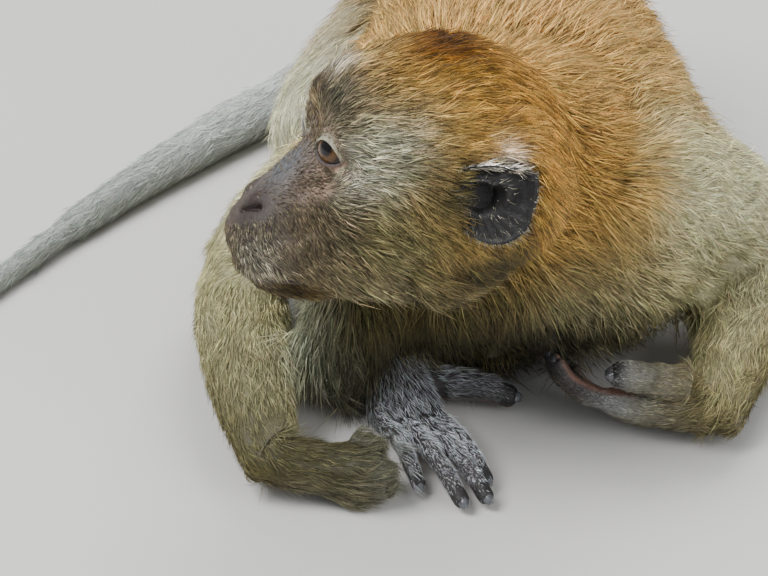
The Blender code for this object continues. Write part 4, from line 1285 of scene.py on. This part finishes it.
def tufted(s, triangles, weight, count, seed, long, wide):
    """Arrays for one coat piece: tufts rooted over the skin where weight is high.

    A tuft is a thin spindle: a point in the skin, a ring of three and a tip. At t of its length
    it has run r along the lie, on a circle of the skin's own bend k: sin(kr)/k along and
    (1 - cos(kr))/k down. It rises by its depth times 1 - (1 - t)^2.
    """
    rng = np.random.default_rng(seed)
    corners, shares = picks(s.points, triangles, count, rng, weight)
    root, up, lie, bend, hair, depth, coat, strength, width = (
        blend_at(getattr(s, key), corners, shares)
        for key in ("points", "normals", "lie", "bend", "length", "depth", "coat", "strength", "width"))
    up = unit(up)
    lie = unit(lie - (lie * up).sum(1, keepdims=True) * up)
    clump = 0.24 * ripple(root, 0.007, seed + 7) + 0.10 * rng.normal(size=count)
    lie = unit(lie + clump[:, None] * np.cross(up, lie))
    aside = np.cross(up, lie)
    length = hair * long * rng.uniform(0.80, 1.30, count)
    wild = rng.random(count) < WILD
    rise = depth * rng.uniform(0.12, 0.80, count) * (1 + 0.8 * wild)
    rise *= 1 + 0.35 * ripple(root, 0.009, seed + 9)
    bend = np.where(np.abs(bend) < 1.0, 1.0, bend)
    sway = rng.normal(size=count) * 0.10
    half = (0.00013 + 0.0072 * hair) * wide * width * rng.uniform(0.75, 1.25, count)

    def line(t):
        run = length * t
        ahead, down = np.sin(bend * run) / bend, (1 - np.cos(bend * run)) / bend
        lift = rise * (1 - (1 - t) ** 2) - ROOT_DEPTH * (1 - t)
        return (root + ahead[:, None] * lie + (lift - down)[:, None] * up
                + (sway * run * t)[:, None] * aside)

    points = np.empty((count, 5, 3))
    points[:, 0], points[:, 4] = line(0.0), line(1.0)
    ring = line(RING_AT)
    turn = rng.uniform(0, 2 * math.pi, count)
    for k in range(3):
        t = turn + 2 * math.pi * k / 3
        points[:, 1 + k] = (ring + aside * (half * np.cos(t))[:, None]
                            + up * (half * 0.8 * np.sin(t))[:, None])
    points[:, :, 2] = np.maximum(points[:, :, 2], 0.0004 + 0.0002 * np.arange(5) / 4)

    tone = coat * np.exp(strength * (0.27 * rng.normal(size=count) + 0.17 * ripple(root, 0.0035, seed + 5))
                         + 0.10 * ripple(root, 0.012, seed + 3))[:, None]
    tone = tone * (1 + 0.05 * rng.normal(size=(count, 3)))
    dark = rng.random(count) < DARK
    tips = np.where(dark, 0.30, 1.20 + 0.45 * rng.random(count))
    tints = np.ones((count, 5, 4))
    for part, factor in ((0, 0.40), (1, np.where(dark, 0.68, 1.05)), (4, tips)):
        tints[:, part, :3] = tone * (factor ** strength)[:, None]
    tints[:, 2:4] = tints[:, 1:2]
    centres = unwrapped(root, s.owners[corners[:, 0]])
    places = centres[:, None] + PATCH * patch_corners()[None]
    faces = (np.arange(count) * 5)[:, None, None] + TUFT_FACES
    return points.reshape(-1, 3), faces.reshape(-1, 3), tints.reshape(-1, 4), places.reshape(-1, 2)


def give_colours(mesh, name, colours):
    """Puts one colour for each vertex into the mesh."""
    layer = mesh.color_attributes.new(name, "FLOAT_COLOR", "POINT")
    layer.data.foreach_set("color", np.asarray(colours, np.float32).ravel())


def give_places(mesh, name, places):
    """Puts one flat place for each corner into the mesh."""
    layer = mesh.uv_layers.new(name=name)
    layer.uv.foreach_set("vector", np.asarray(places, np.float32).ravel())


# ------------------------------------------------------------------ eyes and nails
def grid_faces(rows, columns):
    """Squares between the places of a grid with that many rows and columns."""
    i, j = np.meshgrid(np.arange(rows - 1), np.arange(columns - 1), indexing="ij")
    first = (i * columns + j).ravel()
    return np.stack([first, first + columns, first + columns + 1, first + 1], 1)


# Where each eye looks: forward, left, up.
LOOK = {"left": (0.77, 0.59, 0.23), "right": (0.95, -0.05, 0.22)}
FRONT_BULGE, FRONT_ANGLE = 0.04, 37     # the clear front's share of the radius, and its angle


def eyeball(side):
    """An eyeball: a ball about its line of sight, with a clear front standing out by a few percent.

    Polar angle v from the line of sight and turn u about it; radius R(1 + 0.04(1 - (v/v0)^2)^1.5)
    within v0.
    """
    look = np.array(LOOK[side])
    look = unit(look[0] * FORWARD + look[1] * LEFT + look[2] * UP)
    aside = unit(np.cross(look, UP))
    above = np.cross(aside, look)
    v = np.concatenate([np.linspace(0.0, 48, 40), np.linspace(51, 180, 26)])
    u = np.linspace(0, 360, 65)
    V, U = np.meshgrid(np.radians(v), np.radians(u), indexing="ij")
    bulge = FRONT_BULGE * np.clip(1 - (np.degrees(V) / FRONT_ANGLE) ** 2, 0, 1) ** 1.5
    radius = EYE_RADIUS * (1 + bulge)
    points = middle_of("eye_" + side) + radius[..., None] * mixed(
        (np.cos(V), look), (np.sin(V) * np.cos(U), aside), (np.sin(V) * np.sin(U), above))
    flat = np.stack([U / (2 * math.pi), V / math.pi], -1).reshape(-1, 2)
    return points.reshape(-1, 3), grid_faces(len(v), len(u)), flat


NAIL_LENGTH, NAIL_THICKNESS = 0.0075, 0.00042       # metres
LONGEST_ON = 0.30        # half thickness of the digits that the longest nails are for, head units


def nail(joints, radius, back, length):
    """One nail: an arched plate over a digit's tip.

    Over u across and v along: it drops by 0.58 u^2 and 0.42 v^2.5 of its half width, and narrows
    by the root of 1.02 - v^4 towards its end. A second sheet 0.42 mm lower closes it.
    """
    along = unit(joints[-1] - joints[-2])
    back = unit(back - along * (back @ along))
    across = np.cross(along, back)
    u, v = np.meshgrid(np.linspace(-1, 1, 13), np.linspace(0, 1, 15))
    half = radius * HEAD_UNIT
    base = joints[-1] - along * (length * 0.90) + back * (half * 1.04)
    wide = half * 0.86 * np.sqrt(np.clip(1.02 - v ** 4, 0, 1)) * (0.86 + 0.14 * ease(0, 0.2, v))
    drop = half * (0.58 * u ** 2 + 0.42 * v ** 2.5) + 0.0004 * (1 - ease(0, 0.15, v))
    sheets = [base + np.multiply.outer(v * length, along) + (wide * u)[..., None] * across
              - (drop + lower)[..., None] * back for lower in (0.0, NAIL_THICKNESS)]
    rows, columns = u.shape
    size = rows * columns
    top = np.roll(grid_faces(rows, columns)[:, ::-1], 1, axis=1)
    edge = np.concatenate([np.arange(columns), np.arange(1, rows) * columns + columns - 1,
                           (rows - 1) * columns + np.arange(columns - 2, -1, -1),
                           np.arange(rows - 2, 0, -1) * columns])
    after = np.roll(edge, -1)
    sides = np.stack([after, edge, edge + size, after + size], 1)
    return np.concatenate(sheets).reshape(-1, 3), np.concatenate([top, top[:, ::-1] + size, sides])


# ------------------------------------------------------------------ materials
def new_group(name, inputs, outputs):
    """An empty shader node group with the sockets given as (name, kind, value)."""
    tree = bpy.data.node_groups.new(name, "ShaderNodeTree")
    for title, kind, value in inputs:
        socket = tree.interface.new_socket(title, in_out="INPUT", socket_type=kind)
        if value is not None:
            socket.default_value = value
    for title, kind in outputs:
        tree.interface.new_socket(title, in_out="OUTPUT", socket_type=kind)
    return tree, tree.nodes.new("NodeGroupInput"), tree.nodes.new("NodeGroupOutput")


def placed(tree, kind, values, feeds, **settings):
    """A shader node with its settings, constant values by input, and feeds of (node, output) by input."""
    node = tree.nodes.new("ShaderNode" + kind)
    for key, value in settings.items():
        setattr(node, key, value)
    for key, value in values.items():
        node.inputs[key].default_value = value
    for key, (source, output) in feeds.items():
        tree.links.new(source.outputs[output], node.inputs[key])
    return node


def dappled_group():
    """Colour times a soft noise, with the noise as a height. Made once."""
    name = "dappled"
    if name in bpy.data.node_groups:
        return bpy.data.node_groups[name]
    tree, entry, end = new_group(
        name, [("Color", "NodeSocketColor", None), ("Size", "NodeSocketFloat", 300.0),
               ("Strength", "NodeSocketFloat", 0.25)],
        [("Color", "NodeSocketColor"), ("Height", "NodeSocketFloat")])
    place = placed(tree, "TexCoord", {}, {})
    noise = placed(tree, "TexNoise", {"Detail": 4.0},
                   {"Vector": (place, "Object"), "Scale": (entry, "Size")})
    level = placed(tree, "MapRange", {"From Min": 0.3, "From Max": 0.7, "To Min": -1.0, "To Max": 1.0},
                   {"Value": (noise, "Fac")})
    much = placed(tree, "Math", {2: 1.0}, {0: (level, "Result"), 1: (entry, "Strength")},
                  operation="MULTIPLY_ADD")
    scale = placed(tree, "VectorMath", {}, {0: (entry, "Color"), "Scale": (much, "Value")},
                   operation="SCALE")
    tree.links.new(scale.outputs["Vector"], end.inputs["Color"])
    tree.links.new(noise.outputs["Fac"], end.inputs["Height"])
    return tree


def new_material(name, roughness, **constants):
    """A material with one Principled shader, and its constant values set on the shader itself."""
    material = bpy.data.materials.new(name)
    material.use_nodes = True
    shader = material.node_tree.nodes["Principled BSDF"]
    shader.inputs["Roughness"].default_value = roughness
    for key, value in constants.items():
        shader.inputs[key.replace("_", " ")].default_value = value
    return material, material.node_tree, shader


def tinted(tree, shader, size, strength):
    """Feeds the shader the mesh's own tint, dappled. Returns the group's node."""
    tint = placed(tree, "Attribute", {}, {}, attribute_name="tint")
    dapple = placed(tree, "Group", {"Size": size, "Strength": strength}, {"Color": (tint, "Color")},
                    node_tree=dappled_group())
    tree.links.new(dapple.outputs["Color"], shader.inputs["Base Color"])
    return dapple


def coat_material():
    """Soft hair: the tufts' own tint, dappled, with a faint sheen."""
    material, tree, shader = new_material("coat", 0.66, Sheen_Weight=0.03, Sheen_Roughness=0.45,
                                          Specular_IOR_Level=0.18)
    tinted(tree, shader, 260.0, 0.22)
    return material


def skin_material():
    """Skin: its own tint, dappled, with fine creases."""
    material, tree, shader = new_material("skin", 0.56, Specular_IOR_Level=0.42)
    dapple = tinted(tree, shader, 900.0, 0.32)
    place = placed(tree, "TexCoord", {}, {})
    creases = placed(tree, "TexVoronoi", {"Scale": 950.0}, {"Vector": (place, "Object")},
                     feature="DISTANCE_TO_EDGE")
    total = placed(tree, "Math", {1: 0.8}, {0: (creases, "Distance"), 2: (dapple, "Height")},
                   operation="MULTIPLY_ADD")
    bump = placed(tree, "Bump", {"Strength": 0.55, "Distance": 0.0006}, {"Height": (total, "Value")})
    tree.links.new(bump.outputs["Normal"], shader.inputs["Normal"])
    return material


def eye_material(colour):
    """A wet eye: pupil, streaked iris, dark rim and brown white, by the angle from its line of sight."""
    material, tree, shader = new_material("eye", 0.12, Coat_Weight=0.30, Coat_Roughness=0.02,
                                          Specular_IOR_Level=0.20)
    place = placed(tree, "UVMap", {}, {}, uv_map="polar")
    split = placed(tree, "SeparateXYZ", {}, {"Vector": (place, "UV")})
    ramp = placed(tree, "ValToRGB", {}, {"Fac": (split, "Y")})
    r, g, b = colour
    pupil = (0.002, 0.002, 0.002)
    stops = [(0.0, pupil), (14.0, pupil), (15.5, (r * 0.35, g * 0.3, b * 0.3)), (21.0, (r, g, b)),
             (29.0, (r * 0.75, g * 0.7, b * 0.7)), (33.0, (r * 0.20, g * 0.16, b * 0.15)),
             (37.0, (0.012, 0.008, 0.006)), (60.0, (0.030, 0.020, 0.015))]
    elements = ramp.color_ramp.elements
    while len(elements) < len(stops):
        elements.new(0.5)
    for element, (angle, tone) in zip(elements, stops):
        element.position = angle / 180
        element.color = (*tone, 1.0)
    stretch = placed(tree, "VectorMath", {1: (70.0, 9.0, 1.0)}, {0: (place, "UV")}, operation="MULTIPLY")
    streaks = placed(tree, "TexNoise", {"Scale": 1.0, "Detail": 3.0}, {"Vector": (stretch, "Vector")})
    level = placed(tree, "MapRange", {"To Min": 0.55, "To Max": 1.45}, {"Value": (streaks, "Fac")})
    scale = placed(tree, "VectorMath", {}, {0: (ramp, "Color"), "Scale": (level, "Result")},
                   operation="SCALE")
    tree.links.new(scale.outputs["Vector"], shader.inputs["Base Color"])
    return material


def nail_material():
    """Dark grey horn, glossy, a little streaked."""
    material, tree, shader = new_material("nail", 0.24, Specular_IOR_Level=0.8)
    tinted(tree, shader, 600.0, 0.30)
    return material


# ------------------------------------------------------------------ the add-on
class MACAQUE_PG_sizes(bpy.types.PropertyGroup):
    """The sizes and colours that a user would change."""
    tufts: IntProperty(name="Tufts", description="Tufts of hair in each piece of the coat",
                       default=32800, min=100, max=33300)
    hair_length: FloatProperty(name="Hair length", description="Factor on the hair's length",
                               default=1.0, min=0.2, max=2.0)
    hair_width: FloatProperty(name="Hair width", description="Factor on the tufts' width",
                              default=1.0, min=0.2, max=3.0)
    nail_length: FloatProperty(name="Nail length", description="Length of the longest nails",
                               default=NAIL_LENGTH, unit="LENGTH", subtype="DISTANCE")
    iris: FloatVectorProperty(name="Iris", description="Colour of the iris", subtype="COLOR",
                              size=3, default=(0.090, 0.045, 0.014))
    floor: FloatVectorProperty(name="Floor", description="Colour of the floor", subtype="COLOR",
                               size=3, default=(0.62, 0.61, 0.59))


MADE = {}       # what one operator leaves for the next: the skin's fields and triangles


class MACAQUE_OT_skin(bpy.types.Operator):
    """Makes the one skin with its face, ears and paws"""
    bl_idname = "macaque.skin"
    bl_label = "Skin"

    def execute(self, context):
        mesh = make_skin_mesh()
        fields = coat_fields(mesh)
        MADE["fields"], MADE["triangles"] = fields, triangles_of(mesh)
        give_colours(mesh, "tint", np.column_stack([fields.skin, np.ones(len(fields.skin))]))
        mesh.materials.append(skin_material())
        skin = object_from("skin", mesh)
        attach(skin, "root")
        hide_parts(*FLESH)
        return {"FINISHED"}


class MACAQUE_OT_eyes(bpy.types.Operator):
    """Makes the two eyeballs"""
    bl_idname = "macaque.eyes"
    bl_label = "Eyes"

    def execute(self, context):
        material = eye_material(context.scene.macaque.iris)
        for side in SIDES:
            points, faces, flat = eyeball(side)
            mesh = mesh_from("eyeball_" + side, points, faces)
            give_places(mesh, "polar", flat[faces.ravel()])
            mesh.materials.append(material)
            eye = object_from("eyeball_" + side, closed(mesh))
            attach(eye, "root")
            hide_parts("eye_" + side)
        return {"FINISHED"}


class MACAQUE_OT_nails(bpy.types.Operator):
    """Makes the nails of hands and feet"""
    bl_idname = "macaque.nails"
    bl_label = "Nails"

    def execute(self, context):
        length = context.scene.macaque.nail_length
        parts = [nail(joints, radii[-1], back, length * radii[-1] / LONGEST_ON)
                 for name in EXTREMITIES if name != "hand_right"
                 for joints, radii, back in digits_of(name)]
        mesh = closed(mesh_from("nails", *joined(parts)))
        give_colours(mesh, "tint", np.tile([*shade(0.31, 0.315, 0.33), 1.0], (len(mesh.vertices), 1)))
        mesh.materials.append(nail_material())
        nails = object_from("nails", mesh)
        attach(nails, "root")
        return {"FINISHED"}


class MACAQUE_OT_coat(bpy.types.Operator):
    """Grows the coat over the skin, piece by piece"""
    bl_idname = "macaque.coat"
    bl_label = "Coat"

    def execute(self, context):
        sizes = context.scene.macaque
        fields, triangles = MADE["fields"], MADE["triangles"]
        material = coat_material()
        for number, (name, where) in enumerate(growing(fields).items()):
            points, faces, tints, places = tufted(
                fields, triangles, fields.density * where, int(sizes.tufts * COAT_PIECES[name]),
                100 + 20 * number, sizes.hair_length, sizes.hair_width)
            mesh = mesh_from(name, points, faces)
            give_colours(mesh, "tint", tints)
            give_places(mesh, "OFBake", places)
            mesh.materials.append(material)
            piece = object_from(name, mesh)
            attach(piece, "root")
        return {"FINISHED"}


# Each lamp: name, place, what it is aimed at, power in watts and size in metres.
LAMPS = (("key", (-0.75, -0.45, 1.30), (0.0, -0.05, 0.06), 28.0, 0.80),
         ("fill", (1.10, -1.00, 0.70), (0.02, -0.05, 0.06), 11.0, 1.00),
         ("back", (0.35, 0.95, 1.15), (0.02, 0.0, 0.10), 16.0, 0.80))
LENS, SENSOR = 131.25, 36.0                      # millimetres
CAMERA_PLACE, CAMERA_TILT = (0.025376, -0.982488, 0.570752), 60      # metres, degrees
FLOOR_HALF = 6.0                                 # half the floor's side, metres
SKY, SKY_STRENGTH = (0.92, 0.96, 1.0, 1.0), 0.55


class MACAQUE_OT_stage(bpy.types.Operator):
    """Lays the floor and sets the light and the camera"""
    bl_idname = "macaque.stage"
    bl_label = "Stage"

    def execute(self, context):
        scene = context.scene
        points = np.array([(-1, -1, 0), (1, -1, 0), (1, 1, 0), (-1, 1, 0)]) * FLOOR_HALF
        mesh = mesh_from("floor", points, np.array([[0, 1, 2, 3]]))
        material, _, shader = new_material("floor", 0.85)
        shader.inputs["Base Color"].default_value = (*scene.macaque.floor, 1.0)
        mesh.materials.append(material)
        floor = object_from("floor", mesh)
        for name, place, aim, power, size in LAMPS:
            light = bpy.data.lights.new(name, "AREA")
            light.energy, light.size = power, size
            lamp = bpy.data.objects.new(name, light)
            lamp.location = place
            lamp.rotation_euler = (Vector(aim) - Vector(place)).to_track_quat("-Z", "Y").to_euler()
            scene.collection.objects.link(lamp)
        world = bpy.data.worlds.new("studio")
        world.use_nodes = True
        sky = world.node_tree.nodes["Background"]
        sky.inputs["Color"].default_value = SKY
        sky.inputs["Strength"].default_value = SKY_STRENGTH
        scene.world = world
        data = bpy.data.cameras.new("view")
        data.lens, data.sensor_width = LENS, SENSOR
        camera = bpy.data.objects.new("view", data)
        camera.location = CAMERA_PLACE
        camera.rotation_euler = (math.radians(CAMERA_TILT), 0.0, 0.0)
        scene.collection.objects.link(camera)
        scene.camera = camera
        return {"FINISHED"}


class MACAQUE_PT_panel(bpy.types.Panel):
    """The macaque's pieces in the sidebar"""
    bl_label = "Macaque"
    bl_idname = "MACAQUE_PT_panel"
    bl_space_type = "VIEW_3D"
    bl_region_type = "UI"
    bl_category = "Macaque"

    def draw(self, context):
        for key in MACAQUE_PG_sizes.__annotations__:
            self.layout.prop(context.scene.macaque, key)
        for piece in OPERATORS:
            self.layout.operator(piece.bl_idname)


OPERATORS = (MACAQUE_OT_skin, MACAQUE_OT_eyes, MACAQUE_OT_nails, MACAQUE_OT_coat, MACAQUE_OT_stage)
CLASSES = (MACAQUE_PG_sizes, *OPERATORS, MACAQUE_PT_panel)


def register():
    """Registers the classes and the scene's settings."""
    for each in CLASSES:
        bpy.utils.register_class(each)
    bpy.types.Scene.macaque = PointerProperty(type=MACAQUE_PG_sizes)


def unregister():
    """Takes the classes and the settings away again."""
    del bpy.types.Scene.macaque
    for each in reversed(CLASSES):
        bpy.utils.unregister_class(each)


def main():
    """Makes the whole model."""
    register()
    bpy.ops.macaque.skin()
    bpy.ops.macaque.eyes()
    bpy.ops.macaque.nails()
    bpy.ops.macaque.coat()
    bpy.ops.macaque.stage()


if __name__ == "__main__":
    main()
